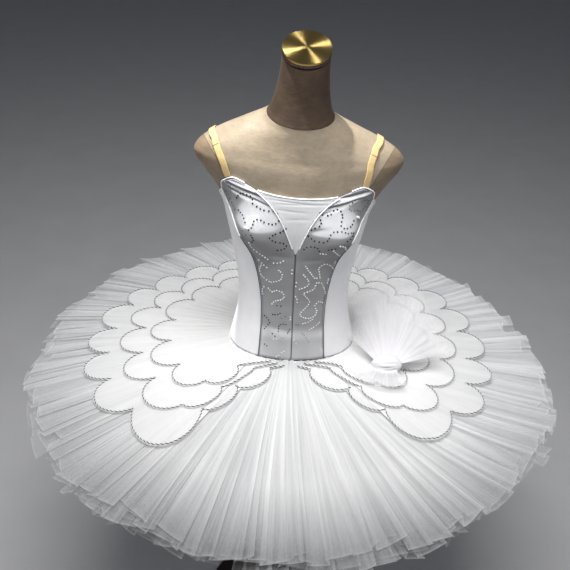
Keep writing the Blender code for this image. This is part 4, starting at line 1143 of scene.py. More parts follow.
def bodice_piece(name, node, edges, rows, columns, material, side, folds=(), ripple=0.0,
                 seed=0, trim=(), rests=("torso_cover",)):
    points, uv = panel_grid(edges, rows, columns, side, folds, ripple=ripple, seed=seed)
    made = add(name, mesh_of(name, points, grid_faces(rows, columns), uv), material, node)
    shell(made, CLOTH)
    return made, points


inner = [(a + SEAM_HALF, h) for a, h in FRONT_INNER]
outer = edge_line(0, -SEAM_HALF) + CUP_CORNER

CUP_FOLDS = {
    # (angle, height) to (angle, height), half width, depth
    1: [((24.0, 0.3600), (46.0, 0.3690), 0.0036, -0.0036),
        ((17.0, 0.3400), (42.0, 0.3600), 0.0026, -0.0026),
        ((14.0, 0.3300), (34.0, 0.3500), 0.0026, -0.0014),
        ((20.0, 0.3490), (50.0, 0.3650), 0.0026, 0.0018),
        ((46.0, 0.3560), (54.0, 0.3300), 0.0040, -0.0012),
        ((10.0, 0.3000), (24.0, 0.3060), 0.0050, -0.0009),
        ((5.0, 0.2350), (30.0, 0.2420), 0.0060, -0.0010),
        ((3.0, 0.1200), (26.0, 0.1260), 0.0080, -0.0006)],
    -1: [((20.0, 0.3510), (46.0, 0.3650), 0.0030, -0.0034),
         ((26.0, 0.3440), (49.0, 0.3560), 0.0030, -0.0018),
         ((16.0, 0.3360), (30.0, 0.3480), 0.0026, -0.0012),
         ((22.0, 0.3570), (46.0, 0.3710), 0.0026, 0.0018),
         ((48.0, 0.3520), (56.0, 0.3240), 0.0040, -0.0014),
         ((4.0, 0.2400), (28.0, 0.2460), 0.0060, -0.0011),
         ((6.0, 0.1650), (28.0, 0.1560), 0.0090, -0.0007),
         ((2.0, 0.0700), (24.0, 0.0800), 0.0080, -0.0005)],
}
panels = {}
for side, word in ((1, "left"), (-1, "right")):
    panels["front_" + word] = bodice_piece(
        "front_panel_" + word, "bodice_front_" + word, (inner, outer), 150, 54,
        MATERIAL["silver_satin"], side, CUP_FOLDS[side], 0.00025, 11 + side)
    panels["side_front_" + word] = bodice_piece(
        "side_front_panel_" + word, "bodice_side_front_" + word,
        (edge_line(0, SEAM_HALF), edge_line(1, -SEAM_HALF)), 110, 40,
        MATERIAL["white_satin"], side,
        [((60.0, 0.09), (66.0, 0.20), 0.0060, -0.0010), ((46.0, 0.10), (44.0, 0.24), 0.005, -0.0007),
         ((78.0, 0.03), (80.0, 0.16), 0.0050, -0.0009)], 0.0003, 21 + side)
    panels["side_back_" + word] = bodice_piece(
        "side_back_panel_" + word, "bodice_side_back_" + word,
        (edge_line(1, SEAM_HALF), edge_line(2, -SEAM_HALF)), 100, 36,
        MATERIAL["white_satin"], side,
        [((104.0, 0.06), (108.0, 0.16), 0.0060, -0.0010),
         ((122.0, 0.04), (124.0, 0.19), 0.0050, -0.0008)], 0.0003, 31 + side)
    panels["back_" + word] = bodice_piece(
        "back_panel_" + word, "bodice_back_" + word,
        (edge_line(2, SEAM_HALF), edge_line(3, -SEAM_HALF)), 90, 34,
        MATERIAL["white_satin"], side,
        [((150.0, 0.05), (152.0, 0.17), 0.0060, -0.0010),
         ((166.0, 0.03), (168.0, 0.14), 0.0050, -0.0008)], 0.0003, 41 + side)

# The plastron: soft folds drawn across its top.
level_rows = [FRONT_INNER[i] for i in PLASTRON_LEVELS]
level_rows[0] = (0.9, 0.2500)
half_at = spread_through([(0.45 if k == 0 else a - 2 * SEAM_HALF, h, PLASTRON_DIP * (
    k / (len(level_rows) - 1)) ** 3) for k, (a, h) in enumerate(level_rows)])
k = np.linspace(0, len(level_rows) - 1, 90)
half, level, dip = [f(k)[:, None] for f in half_at]
t = np.linspace(-1, 1, 60)[None, :]
angle, height = half * t, level - dip * (1 - t * t)
push = fold_depth(angle, height, [
    ((-24.0, 0.3570), (24.0, 0.3560), 0.0016, -0.0010),
    ((-20.0, 0.3520), (10.0, 0.3490), 0.0016, -0.0008),
    ((-12.0, 0.3450), (22.0, 0.3500), 0.0018, -0.0008),
    ((-14.0, 0.3350), (6.0, 0.3330), 0.0022, -0.0007),
    ((-8.0, 0.3180), (9.0, 0.3220), 0.0026, -0.0006)])
plastron_points = figure(angle, height, CLEAR + push)
uv = np.stack([np.broadcast_to(angle * 0.0020, height.shape), height], -1)
plastron = add("plastron_panel", mesh_of("plastron_panel", plastron_points, grid_faces(90, 60), uv),
               MATERIAL["plastron_satin"], "bodice_plastron")
shell(plastron, CLOTH)

placket_k = np.linspace(1, 11, 60)
placket_height = Through(range(12), [row[3][1] for row in SEAMS])(placket_k)
t = np.linspace(-1, 1, 15)[None, :]
placket_points = figure(180 + 5.0 * t, placket_height[:, None] - 0.0005,
                        CLEAR + CLOTH + 0.0006 - 0.0004 * np.abs(t) ** 6)
uv = np.stack([np.broadcast_to(t * 0.008, (60, 15)),
               np.broadcast_to(placket_height[:, None], (60, 15))], -1)
placket = add("back_placket_strip", mesh_of("back_placket_strip", placket_points,
                                            grid_faces(60, 15), uv),
              MATERIAL["white_satin"], "back_placket")
shell(placket, 0.0010)

# Bindings, pipings and braids.
BINDING_RADIUS, BRAID_RADIUS = 0.0013, 0.0009
middle = CLEAR + CLOTH / 2
lift = BINDING_RADIUS + 0.0007
over = CLEAR + CLOTH + 0.0004


def figure_path(route, off, steps=12, side=1):
    """Points on the figure along a route of (angle, height), and the outward directions."""
    k = np.linspace(0, len(route) - 1, (len(route) - 1) * steps + 1)
    angle, height = [f(k) for f in spread_through(route)]
    points, outward = figure(angle, height, off), figure_normal(angle, height)
    flip = np.array([side, 1.0, 1.0])
    return points * flip, outward * flip


top = SEAMS[-1]
neckline = [(178.8, top[3][1])]
for (a0, h0), (a1, h1) in ((top[3], top[2]), (top[2], top[1]), (top[1], top[0])):
    neckline += [(a0 + (a1 - a0) * t, h0 + (h1 - h0) * t) for t in (0.25, 0.5, 0.75, 1)]
neckline += CUP_CORNER + [FRONT_INNER[-1], FRONT_INNER[-2]]
trims = {}
for side, word in ((1, "left"), (-1, "right")):
    points, outward = figure_path([(a, h + lift) for a, h in neckline], middle, 10, side)
    trims["neck_" + word] = tube("neck_binding_roll_" + word, points, BINDING_RADIUS, 12,
                                 MATERIAL["binding"], "neck_binding_" + word,
                                 outward)
    points, outward = figure_path(FRONT_INNER[6:12], over + BINDING_RADIUS, 12, side)
    trims["cup_" + word] = tube("cup_piping_roll_" + word, points, BINDING_RADIUS, 12,
                                MATERIAL["binding"], "cup_piping_" + word,
                                outward)
    route = [(a, max(h, BODICE_HEM + 0.001)) for a, h in edge_line(0)]
    points, outward = figure_path(route, over + BRAID_RADIUS, 14, side)
    switch = int(0.60 * len(points))
    trims["braid_" + word] = tube(
        "seam_braid_roll_" + word, points[:switch], BRAID_RADIUS, 10, MATERIAL["dark_braid"],
        "seam_braid_" + word, outward[:switch])
    trims["seam_" + word] = tube(
        "seam_piping_roll_" + word, points[switch - 1:], BRAID_RADIUS, 10, MATERIAL["binding"],
        (), outward[switch - 1:])
plastron_top = [(FRONT_INNER[11][0] * t, FRONT_INNER[11][1] - PLASTRON_DIP * (1 - t * t) + lift)
                for t in (-0.95, -0.7, -0.4, 0.0, 0.4, 0.7, 0.95)]
points, outward = figure_path(plastron_top, middle, 12)
trims["plastron"] = tube("plastron_binding_roll", points, BINDING_RADIUS, 12,
                         MATERIAL["binding"], "plastron_binding", outward)
points, outward = figure_path([(0.0, h) for h in np.linspace(BODICE_HEM + 0.001, 0.247, 12)],
                              CLEAR + CLOTH - 0.0001, 6)
trims["centre"] = tube("centre_front_seam", points, 0.00045, 8, MATERIAL["dark_braid"],
                       (), outward)


# ------------------------------------------------------------------ studs
STUD_CHAINS = {
    # side: (kind, stud radius, spacing, [(angle, height in mm), ...])
    1: [
        ("dark", 0.00125, 0.0066, [(14, 336), (18, 331), (22, 334), (25, 342), (29, 338),
                                   (31, 327), (30, 316), (34, 308), (39, 310), (42, 319)]),
        ("pale", 0.00150, 0.0070, [(45.5, 323), (47.5, 321)]),
        ("dark", 0.00125, 0.0066, [(12.8, 328), (16, 320), (13.5, 310), (9.5, 304)]),
        ("dark", 0.00120, 0.0066, [(8, 292), (13, 283), (19, 282), (22, 291), (24, 303),
                                   (30, 304), (36, 299), (42, 297), (41, 289), (36, 284)]),
        ("grey", 0.00110, 0.0062, [(38, 356), (34.5, 347), (37, 338), (43, 337), (48, 332),
                                   (52, 338), (53, 347), (49, 353), (44, 352)]),
        ("dark", 0.00110, 0.0066, [(5.5, 263), (9, 270), (14, 270), (17, 262)]),
        ("dark", 0.00110, 0.0064, [(23, 266), (28, 269)]),
        ("pale", 0.00105, 0.0058, [(31, 275), (35, 272), (38.5, 262)]),
        ("pale", 0.00105, 0.0058, [(27, 264), (31, 256), (35, 248)]),
        ("pale", 0.00100, 0.0058, [(18, 256), (22.5, 255)]),
        ("pale", 0.00105, 0.0058, [(8, 224), (13, 208), (18, 195), (23, 195), (21, 207),
                                   (20, 219), (25, 228), (31, 222), (35, 213)]),
        ("pale", 0.00100, 0.0058, [(7, 204), (11, 193), (12.5, 181), (9, 174), (4, 170)]),
        ("pale", 0.00105, 0.0058, [(9, 161), (14, 165), (18, 170), (20, 184), (24, 183),
                                   (28, 171), (31, 155)]),
        ("pale", 0.00095, 0.0058, [(9, 157), (12, 148), (15, 139), (13, 128), (9, 119),
                                   (6, 111), (9, 103), (15, 100), (21, 104), (23, 115),
                                   (21, 127), (25, 137), (29, 133)]),
        ("pale", 0.00085, 0.0056, [(9, 88), (14, 91), (19, 97)]),
        ("pale", 0.00085, 0.0056, [(16, 74), (22, 80), (27, 88)]),
        ("dark", 0.00075, 0.0060, [(3, 86), (5, 85)]),
        ("grey", 0.00080, 0.0060, [(9, 66), (12, 57), (15, 47)]),
        ("pale", 0.00085, 0.0060, [(27, 28), (29, 20)]),
        ("pale", 0.00100, 0.0070, [(1.6, 186), (1.4, 176)]),
        ("pale", 0.00100, 0.0062, [(1.6, 152), (3.0, 144), (3.0, 138)]),
        ("pale", 0.00095, 0.0070, [(1.8, 52), (3.4, 44)]),
        ("pale", 0.00110, 0.0060, [(34.4, 232), (35.0, 222)]),
        ("pale", 0.00110, 0.0060, [(32.2, 190), (31.8, 180)]),
    ],
    -1: [
        ("grey", 0.00105, 0.0062, [(47, 360), (42, 366), (37, 365), (32, 360)]),
        ("dark", 0.00125, 0.0066, [(43, 342), (40, 349), (35, 353), (29, 350), (30, 342),
                                   (26, 335), (20, 331), (15, 332), (12.5, 328.5)]),
        ("grey", 0.00100, 0.0062, [(54, 347), (54.5, 338), (51, 328), (48.5, 318)]),
        ("dark", 0.00115, 0.0066, [(44, 321), (39, 315), (36, 305)]),
        ("pale", 0.00150, 0.0070, [(35.2, 297), (33.8, 296)]),
        ("dark", 0.00125, 0.0066, [(32.5, 294), (30, 301), (29, 311), (25, 315), (20, 310),
                                   (15, 309), (11.5, 316)]),
        ("dark", 0.00120, 0.0066, [(6.5, 303), (10, 296), (15, 290), (18, 284), (15, 276),
                                   (10, 274), (6.5, 268), (8, 261), (13, 257)]),
        ("dark", 0.00115, 0.0064, [(31, 286), (29.5, 277), (31, 270)]),
        ("grey", 0.00100, 0.0062, [(38, 290), (35.5, 283)]),
        ("pale", 0.00110, 0.0058, [(34, 268), (33.5, 258), (30, 248), (26, 240), (22, 233)]),
        ("pale", 0.00100, 0.0060, [(31, 227), (27, 218), (24, 213)]),
        ("pale", 0.00100, 0.0058, [(9, 233), (13, 227), (17, 226)]),
        ("pale", 0.00100, 0.0058, [(29, 216), (32, 205), (31, 194), (27, 186), (21, 181),
                                   (16, 184), (11, 191), (10, 203), (13, 211)]),
        ("pale", 0.00100, 0.0058, [(29, 166), (31, 156), (31, 148)]),
        ("pale", 0.00100, 0.0058, [(24, 165), (20, 158), (15, 163), (10, 160), (8, 150),
                                   (12, 141), (17, 137), (20, 129)]),
        ("dark", 0.00105, 0.0064, [(15, 127), (11, 127)]),
        ("dark", 0.00105, 0.0060, [(19, 105), (15, 106), (11.5, 110)]),
        ("dark", 0.00100, 0.0064, [(28, 98), (24.5, 94), (22, 86), (24, 78), (27, 69)]),
        ("dark", 0.00100, 0.0064, [(12, 68), (12.5, 78), (9, 86), (5.5, 85)]),
        ("dark", 0.00100, 0.0064, [(18, 62), (15, 57)]),
        ("dark", 0.00095, 0.0064, [(3.6, 66), (1.8, 75)]),
        ("dark", 0.00100, 0.0064, [(25, 36), (22, 33)]),
        ("pale", 0.00085, 0.0060, [(8, 58), (12, 52), (16, 50)]),
        ("pale", 0.00085, 0.0060, [(6, 26), (9, 18), (12, 13)]),
        ("pale", 0.00100, 0.0062, [(1.6, 214), (1.8, 206)]),
        ("pale", 0.00095, 0.0062, [(1.8, 103), (1.6, 97)]),
        ("grey", 0.00085, 0.0062, [(6.5, 104), (10, 99)]),
    ],
}


def stud_points(centres, outward, radii):
    """Cut stones: a flared skirt, a bevel of eight facets and a flat table on each."""
    ring = 2 * np.pi * np.arange(8) / 8
    points, faces = [], []
    for centre, out, radius, turn in zip(centres, outward, radii,
                                         np.linspace(0, 40, len(radii))):
        out = out + np.array([0.0, 0.0, 0.32])
        out /= np.linalg.norm(out)
        side_way = np.cross(out, (0.0, 0.0, 1.0))
        side_way /= np.linalg.norm(side_way)
        up_way = np.cross(side_way, out)
        base = len(points)
        for r, z in ((1.0, -0.0003), (1.0, 0.34 * radius), (0.62, 0.80 * radius)):
            for a in ring + turn:
                points.append(centre + out * z + radius * r * (
                    side_way * math.cos(a) + up_way * math.sin(a)))
        for level in (0, 8):
            for j in range(8):
                after = (j + 1) % 8
                faces.append((base + level + j, base + level + after,
                              base + level + 8 + after, base + level + 8 + j))
        faces.append(tuple(base + 16 + j for j in range(8)))
        faces.append(tuple(base + 7 - j for j in range(8)))
    return points, faces


rng = np.random.default_rng(77)
stud_sets = {}
for side, chains in STUD_CHAINS.items():
    for kind, radius, pitch, route in chains:
        route = [(a, h / 1000) for a, h in route]
        k = np.linspace(0, len(route) - 1, 40 * len(route))
        angle, height = [f(k) for f in spread_through(route)]
        run = np.concatenate([[0], np.cumsum(np.hypot(np.diff(angle) * 0.0022,
                                                      np.diff(height)))])
        count = max(2, int(round(run[-1] / pitch)) + 1)
        at = np.linspace(0, run[-1], count) + rng.normal(0, 0.0004, count)
        angle, height = np.interp(at, run, angle), np.interp(at, run, height)
        angle = angle + rng.normal(0, 0.12, count)
        push = fold_depth(angle, height, CUP_FOLDS[side])
        centres = figure(angle, height, CLEAR + CLOTH + push)
        outward = figure_normal(angle, height)
        flip = np.array([side, 1.0, 1.0])
        radii = radius * rng.uniform(*{"pale": (1.45, 1.75), "dark": (1.25, 1.45),
                                       "grey": (1.15, 1.35)}[kind], count)
        held = stud_sets.setdefault((kind, "left" if side > 0 else "right"), [[], [], []])
        held[0] += list(centres * flip)
        held[1] += list(outward * flip)
        held[2] += list(radii)
studs = {}
for (kind, word), (centres, outward, radii) in stud_sets.items():
    points, faces = stud_points(centres, outward, radii)
    name = "studs_%s_%s" % (kind, word)
    data = bpy.data.meshes.new(name)
    data.from_pydata([tuple(p) for p in points], [], faces)
    build = bmesh.new()
    build.from_mesh(data)
    bmesh.ops.recalc_face_normals(build, faces=build.faces)
    build.to_mesh(data)
    build.free()
    studs[kind + "_" + word] = add(name, data, MATERIAL[kind + "_stud"], ())


# ----------------------------------------------------------------- straps
def strap_band(name, node, side, first, last, lift, width, seed):
    """An elastic band along the strap's route, from one share of it to another."""
    rows, columns = 120, 9
    k = np.linspace(first, last, rows) * (len(STRAPS[side]) - 1)
    angle, height = [f(k) for f in spread_through(STRAPS[side])]
    outward = figure_normal(angle, height)
    centre = figure(angle, height) + outward * (STRAP_CLEAR + lift)[:, None]
    along = np.gradient(centre, axis=0)
    along /= np.linalg.norm(along, axis=1, keepdims=True)
    across = np.cross(outward, along)
    across /= np.linalg.norm(across, axis=1, keepdims=True)
    t = np.linspace(0.5, -0.5, columns)
    bow = -0.0003 * (2 * t) ** 4
    points = (centre[:, None] + across[:, None] * (width * t)[None, :, None]
              + outward[:, None] * bow[None, :, None])
    if side < 0:
        points = points[:, ::-1] * np.array([-1.0, 1.0, 1.0])
    length = np.concatenate([[0], np.cumsum(np.linalg.norm(np.diff(centre, axis=0), axis=1))])
    uv = np.stack([np.broadcast_to(length[:, None], (rows, columns)),
                   np.broadcast_to((t * width)[None, :], (rows, columns))], -1)
    made = add(name, mesh_of(name, points, grid_faces(rows, columns), uv),
               MATERIAL["gold_elastic"], node)
    shell(made, STRAP_THICK * 0.8)
    return made, points


straps = {}
for side, word in ((1, "left"), (-1, "right")):
    lift_line = 0.0006 * np.exp(-((np.linspace(0, 1, 120) - 0.30) / 0.14) ** 2)
    straps[word] = strap_band("strap_band_" + word, "strap_" + word, side, 0.0, 1.0,
                              lift_line * 0.3, STRAP_WIDTH, 1)
    straps["fold_" + word] = strap_band(
        "strap_fold_" + word, "strap_" + word, side, 0.31, 0.50,
        0.00095 + 0.0002 * np.sin(np.linspace(0, np.pi, 120)), STRAP_WIDTH * 0.96, 2)


# ------------------------------------------------------------------ brief
def brief_piece(name, node, first, last):
    rows, columns = 40, 110
    angle = np.linspace(first, last, columns)[None, :]
    turn = np.abs((angle + 180) % 360 - 180)
    leg = Through([p[0] for p in LEG_LINE], [p[1] for p in LEG_LINE])(turn)
    share = np.linspace(0, 1, rows)[:, None]
    height = BRIEF_TOP + (leg - BRIEF_TOP) * (1 - share)
    angle = np.broadcast_to(angle, height.shape)
    push = 0.0004 * np.sin(np.radians(angle) * 37 + 9 * height) * np.exp(-((1 - share) / 0.25) ** 2)
    points = figure(angle, height, CLEAR + 0.0003 + push)
    uv = np.stack([angle * 0.0023, height], -1)
    made = add(name, mesh_of(name, points, grid_faces(rows, columns), uv),
               MATERIAL["white_satin"], node)
    shell(made, CLOTH)
    return made, points


briefs = {
    "front": brief_piece("brief_front_panel", "brief_front", -90 + SEAM_HALF, 90 - SEAM_HALF),
    "back": brief_piece("brief_back_panel", "brief_back", 90 + SEAM_HALF, 270 - SEAM_HALF)}


# ------------------------------------------------------------------- nets
def pleated_net(name, node, seed, rim, rim_drop, hip_drop, count, rows, depth, material,
                cover, stand=0.0, short=0.0, uneven=0.58):
    """One ring of knife-pleated net with uneven pleats. Returns it and its grid of points."""
    rng = np.random.default_rng(seed)
    even = np.arange(count) * 360.0 / count
    widths = np.clip(rng.lognormal(0.0, uneven, count), 0.30, 3.0)
    widths *= 360.0 / widths.sum()
    loose = np.concatenate([[0], np.cumsum(widths)[:-1]]) + rng.uniform(0, 3)
    heading = node == "net_1_top" and stand > 0.005
    share = np.linspace(0, 1, rows) ** 0.85
    if heading:
        share = np.concatenate([[0, 0.007, 0.014, 0.023, 0.034], share[1:]])
    share = np.concatenate([share[:-1], [0.990, 1.0]])
    rows = len(share)
    s = share[:, None]
    spread = s ** 0.8
    start = even[None, :] * (1 - spread) + loose[None, :] * spread
    wide = (360.0 / count) * (1 - spread) + widths[None, :] * spread
    bow = rng.normal(0, 0.5, count)[None, :]
    start = start + bow * s * (1 - s) * 3
    under = np.clip(rng.lognormal(-5.35, 0.42, count), 0.0020, 0.0115)[None, :]
    strength = rng.uniform(0.30, 1.0, count)[None, :]
    radius_mid = 0.130 + (rim - 0.130) * s
    lap = np.degrees(under * (0.35 + 0.65 * s) / radius_mid)
    lap = np.minimum(lap, 0.42 * wide)
    azimuth = np.stack([start - lap, start + 0.28 * wide, start + 0.68 * wide,
                        start + wide + lap * 0.35], axis=2)
    rise = depth * s ** 1.3 * strength
    lean = rng.uniform(-0.25, 0.25, count)[None, :]
    height = np.stack([-rise, rise * (-0.45 + lean), rise * (0.35 + lean), rise], axis=2)
    tall = (rng.random(count) < 0.16) * rng.uniform(0.4, 1.0, count)
    height[:, :, 3] += stand * tall[None, :] * np.clip((s - 0.62) / 0.38, 0, 1) ** 1.6
    height[:, :, 2] += 0.35 * stand * tall[None, :] * np.clip((s - 0.70) / 0.30, 0, 1) ** 1.6
    azimuth = azimuth.reshape(rows, -1)
    height = height.reshape(rows, -1)
    # Each pleat is cut to its own length and at its own slant, in runs that share a length.
    runs = np.repeat(rng.normal(0, 0.0065, count // 2 + 1), 2)[:count]
    length = runs + rng.normal(0, 0.0040, count) - short * (
        rng.random(count) < 0.16) * rng.uniform(0.4, 1.0, count)
    slant = rng.normal(0, 0.0034, count)
    ends = np.stack([length - slant, length - slant * 0.4, length + slant * 0.4, length + slant],
                    axis=1).reshape(1, -1)
    inner = hip_radius(azimuth, hip_drop)
    own = 0.0050 * np.sin(np.radians(azimuth) * 7 + 2.1 * seed) + 0.0040 * np.sin(
        np.radians(azimuth) * 13 + 3.7 * seed)
    outer = np.minimum(rim * (1 + rim_wave(azimuth)) + own - 0.004 + ends, rim * 1.022)
    radius = inner + (outer - inner) * s
    turn = np.radians(azimuth)
    wave = s**2 * (0.0016 * np.sin(5 * turn + 0.4) + 0.0012 * np.sin(11 * turn + 1.9)
                   + 0.0012 * np.sin(23 * turn + seed))
    drop = hip_drop + (rim_drop - hip_drop) * (radius - inner) / (rim - inner)
    if heading:
        # The heading stands up a little against the bodice's hem.
        tuft = np.repeat(rng.uniform(0.45, 1.0, count), 4)[None, :]
        turned = np.abs((azimuth + 180) % 360 - 180)
        tuft = tuft * np.where(turned < 9, 1.0, 0.72)
        head = np.clip(1 - (radius - inner) / 0.017, 0, 1)
        drop = drop - 0.0128 * tuft * head**2.2
        hug = hem_radius(azimuth, -drop, 0.0006)
        radius = radius - (inner - hug) * head**2
    points = np.concatenate([plan(azimuth, radius),
                             (SKIRT_HEIGHT - drop + height + wave)[..., None]], axis=-1)
    closed = np.concatenate([points, points[:, :1]], axis=1)
    across = np.concatenate([[0], np.cumsum(np.linalg.norm(
        np.diff(closed[rows * 2 // 3], axis=0), axis=1))])
    out = np.linalg.norm(np.diff(points, axis=0), axis=2)
    out = np.concatenate([np.zeros((1, out.shape[1])), np.cumsum(out, axis=0)])
    out = np.concatenate([out, out[:, :1]], axis=1)
    uv = np.stack([np.broadcast_to(across[None, :], out.shape), out], -1)
    reach = np.broadcast_to(s, closed.shape[:2])

    def by_pleat(values):
        values = np.repeat(values, 4)
        return np.broadcast_to(np.concatenate([values, values[:1]])[None, :], reach.shape)

    density = np.interp(reach, [0, cover[0], cover[1], 0.86, 0.972, 0.990, 1],
                        [1.0, 1.0, cover[2], 0.55 * cover[2] + 0.45 * cover[3], cover[3],
                         cover[3], cover[3] + 0.26])
    density = density + by_pleat(rng.uniform(-0.10, 0.10, count)) * reach
    tint = by_pleat(rng.uniform(-1, 1, count)) * np.clip(reach * 1.6, 0, 1)
    warm = by_pleat(np.clip(np.cos(np.radians(start[-1])) + rng.uniform(-0.5, 0.5, count), -1, 1))
    # Painted shade: the unlined ends, seen against the dark under the skirt, are greyer and thinner
    # towards the front; this stands for shade, not for anything in the net.
    ahead = np.clip(np.cos(np.radians(np.concatenate([azimuth, azimuth[:, :1]], axis=1))), 0, 1)
    worn = np.clip((reach - 0.66) / 0.34, 0, 1) ** 1.1 * (0.04 + 0.96 * ahead)
    density = density - 0.10 * worn * (reach < 0.985)
    data = mesh_of(name, closed, grid_faces(rows, closed.shape[1]), uv,
                   {"cover": density, "tint": tint, "warm": warm, "worn": worn})
    sharpen(data, closed.shape[1], (0, 3), 4)
    made = add(name, data, material, node)
    return made, closed


nets = []
LAYERS = [
    # CAD net    rim    rim_drop hip_drop count rows depth cover                stand short
    ("net_1_top", 0.533, 0.0560, 0.0040, 112, 34, 0.0036, (0.20, 0.60, 0.60, 0.36), 0.010, 0.030),
    ("net_1_top", 0.536, 0.0622, 0.0078, 106, 30, 0.0032, (0.20, 0.60, 0.42, 0.24), 0.003, 0.034),
    ("net_2", 0.539, 0.0690, 0.0115, 100, 26, 0.0032, (0.25, 0.60, 0.34, 0.17), 0.003, 0.034),
    ("net_2", 0.531, 0.0740, 0.0150, 98, 22, 0.0030, (0.30, 0.60, 0.30, 0.15), 0.0, 0.030),
    ("net_3", 0.528, 0.0790, 0.0190, 96, 22, 0.0030, (0.30, 0.60, 0.30, 0.15), 0.0, 0.030),
    ("net_4", 0.514, 0.0885, 0.0265, 92, 20, 0.0028, (0.35, 0.62, 0.32, 0.18), 0.0, 0.026),
    ("net_5", 0.495, 0.0970, 0.0340, 90, 20, 0.0028, (0.40, 0.64, 0.36, 0.22), 0.0, 0.020),
    ("net_6", 0.468, 0.1040, 0.0415, 88, 20, 0.0026, (0.45, 0.70, 0.44, 0.28), 0.0, 0.016),
]
for i, (node, rim, rim_drop, hip_drop, count, rows, depth, cover, stand, short) in enumerate(
        LAYERS):
    name = "net_ring_%02d" % (i + 1)
    nets.append((name, node, pleated_net(
        name, node, 100 + i, rim, rim_drop, hip_drop, count, rows, depth,
        MATERIAL["top_net" if i < 3 else "under_net"], cover, stand, short)))


# --------------------------------------------------------------- overlays
def scallops(table, steps):
    """Outline, hip angle and share of its lobe for each point of an overlay's edge."""
    outline, hang, turns = [], [], []
    for (a0, r0, _), (a1, r1, bulge) in zip(table, table[1:]):
        start, end = plan(a0, r0), plan(a1, r1)
        chord = end - start
        out = np.array([chord[1], -chord[0]]) / np.linalg.norm(chord)
        turn = math.pi * np.arange(steps) / steps
        outline.append(start + chord * ((1 - np.cos(turn)) / 2)[:, None]
                       + out * (bulge * np.sin(turn))[:, None])
        hang.append(a0 + (a1 - a0) * (1 - np.cos(turn)) / 2)
        turns.append(turn)
    outline.append(plan(table[-1][0], table[-1][1])[None])
    hang.append([table[-1][0]])
    turns.append([math.pi])
    return np.concatenate(outline), np.concatenate(hang), np.concatenate(turns)


def overlay_height(x, y, share, turn, hang, rise, side, seed):
    """An overlay's height: its lobes lift at the edge and its root rises to the hem."""
    rng = np.random.default_rng(seed)
    base = over_top_net(x, y, rise)
    lobe = 0.0022 * np.sin(turn) * np.clip((share - 0.35) / 0.65, 0, 1) ** 2
    folds = 0.0
    for _ in range(4):
        count, phase = rng.uniform(30, 95), rng.uniform(0, 6.28)
        folds = folds + 0.00030 * np.sin(np.radians(hang) * count + phase)
    tuft = 0.75 + 0.25 * np.sin(np.radians(hang) * 61 + seed) * np.sin(np.radians(hang) * 23)
    root = (0.0122 - rise) * tuft * np.clip(1 - share / 0.12, 0, 1) ** 1.8
    return base + lobe + folds * np.clip(share * 3, 0, 1) * (1 - 0.5 * share) + root


overlays, cords = {}, {}
for t_index, (tier, (rise, tables)) in enumerate(OVERLAYS.items()):
    share = np.linspace(0, 1, 24)[:, None] ** 1.3
    for side, word in ((1, "left"), (-1, "right")):
        outline, hang, turn = scallops(tables[side], 26)
        root = plan(hang, hem_radius(hang, 0.0085, 0.0012 + 0.0006 * t_index))
        seed = 60 + 2 * t_index + (side > 0)
        spot = root[None] + (outline - root)[None] * share[..., None]
        z = overlay_height(spot[..., 0], spot[..., 1], share, turn[None], hang[None], rise,
                           side, seed)
        points = np.concatenate([spot, z[..., None]], -1)
        reach = np.linalg.norm(outline - root, axis=1)
        uv = np.stack([np.broadcast_to((np.radians(hang) * 0.24)[None, :], z.shape),
                       share * reach[None, :]], -1)
        cover = np.broadcast_to(0.90 - 0.34 * share**1.5, z.shape).copy()
        faces = grid_faces(*z.shape)
        if side < 0:
            points = points * np.array([-1.0, 1.0, 1.0])
            faces = faces[:, ::-1]
        name = "overlay_plate_%s_%s" % (tier, word)
        data = mesh_of(name, points, faces, uv, {"cover": cover})
        overlays[tier + "_" + word] = (add(name, data, MATERIAL["overlay_net"],
                                           "overlay_%s_%s" % (tier, word)),
                                       points)
        inset = np.maximum(1 - CORD_INSET / reach, 0.4)
        line = root + (outline - root) * inset[:, None]
        z = overlay_height(line[:, 0], line[:, 1], inset, turn, hang, rise, side, seed) + 0.0012
        path = np.concatenate([line, z[:, None]], 1) * np.array([side, 1.0, 1.0])
        cords[tier + "_" + word] = twisted(
            "scallop_cord_%s_%s" % (tier, word), path, 0.00122, 0.0086, 0.0013,
            [MATERIAL["dark_strand"], MATERIAL["pale_strand"]],
            "overlay_cord_%s_%s" % (tier, word))

# ---------------------------------------------------------------- hip bow
perch_z = over_top_net(KNOT["x"], KNOT["y"], OVERLAYS["inner"][0])
knot_at = np.array([KNOT["x"], KNOT["y"], float(perch_z) + KNOT["lift"]])


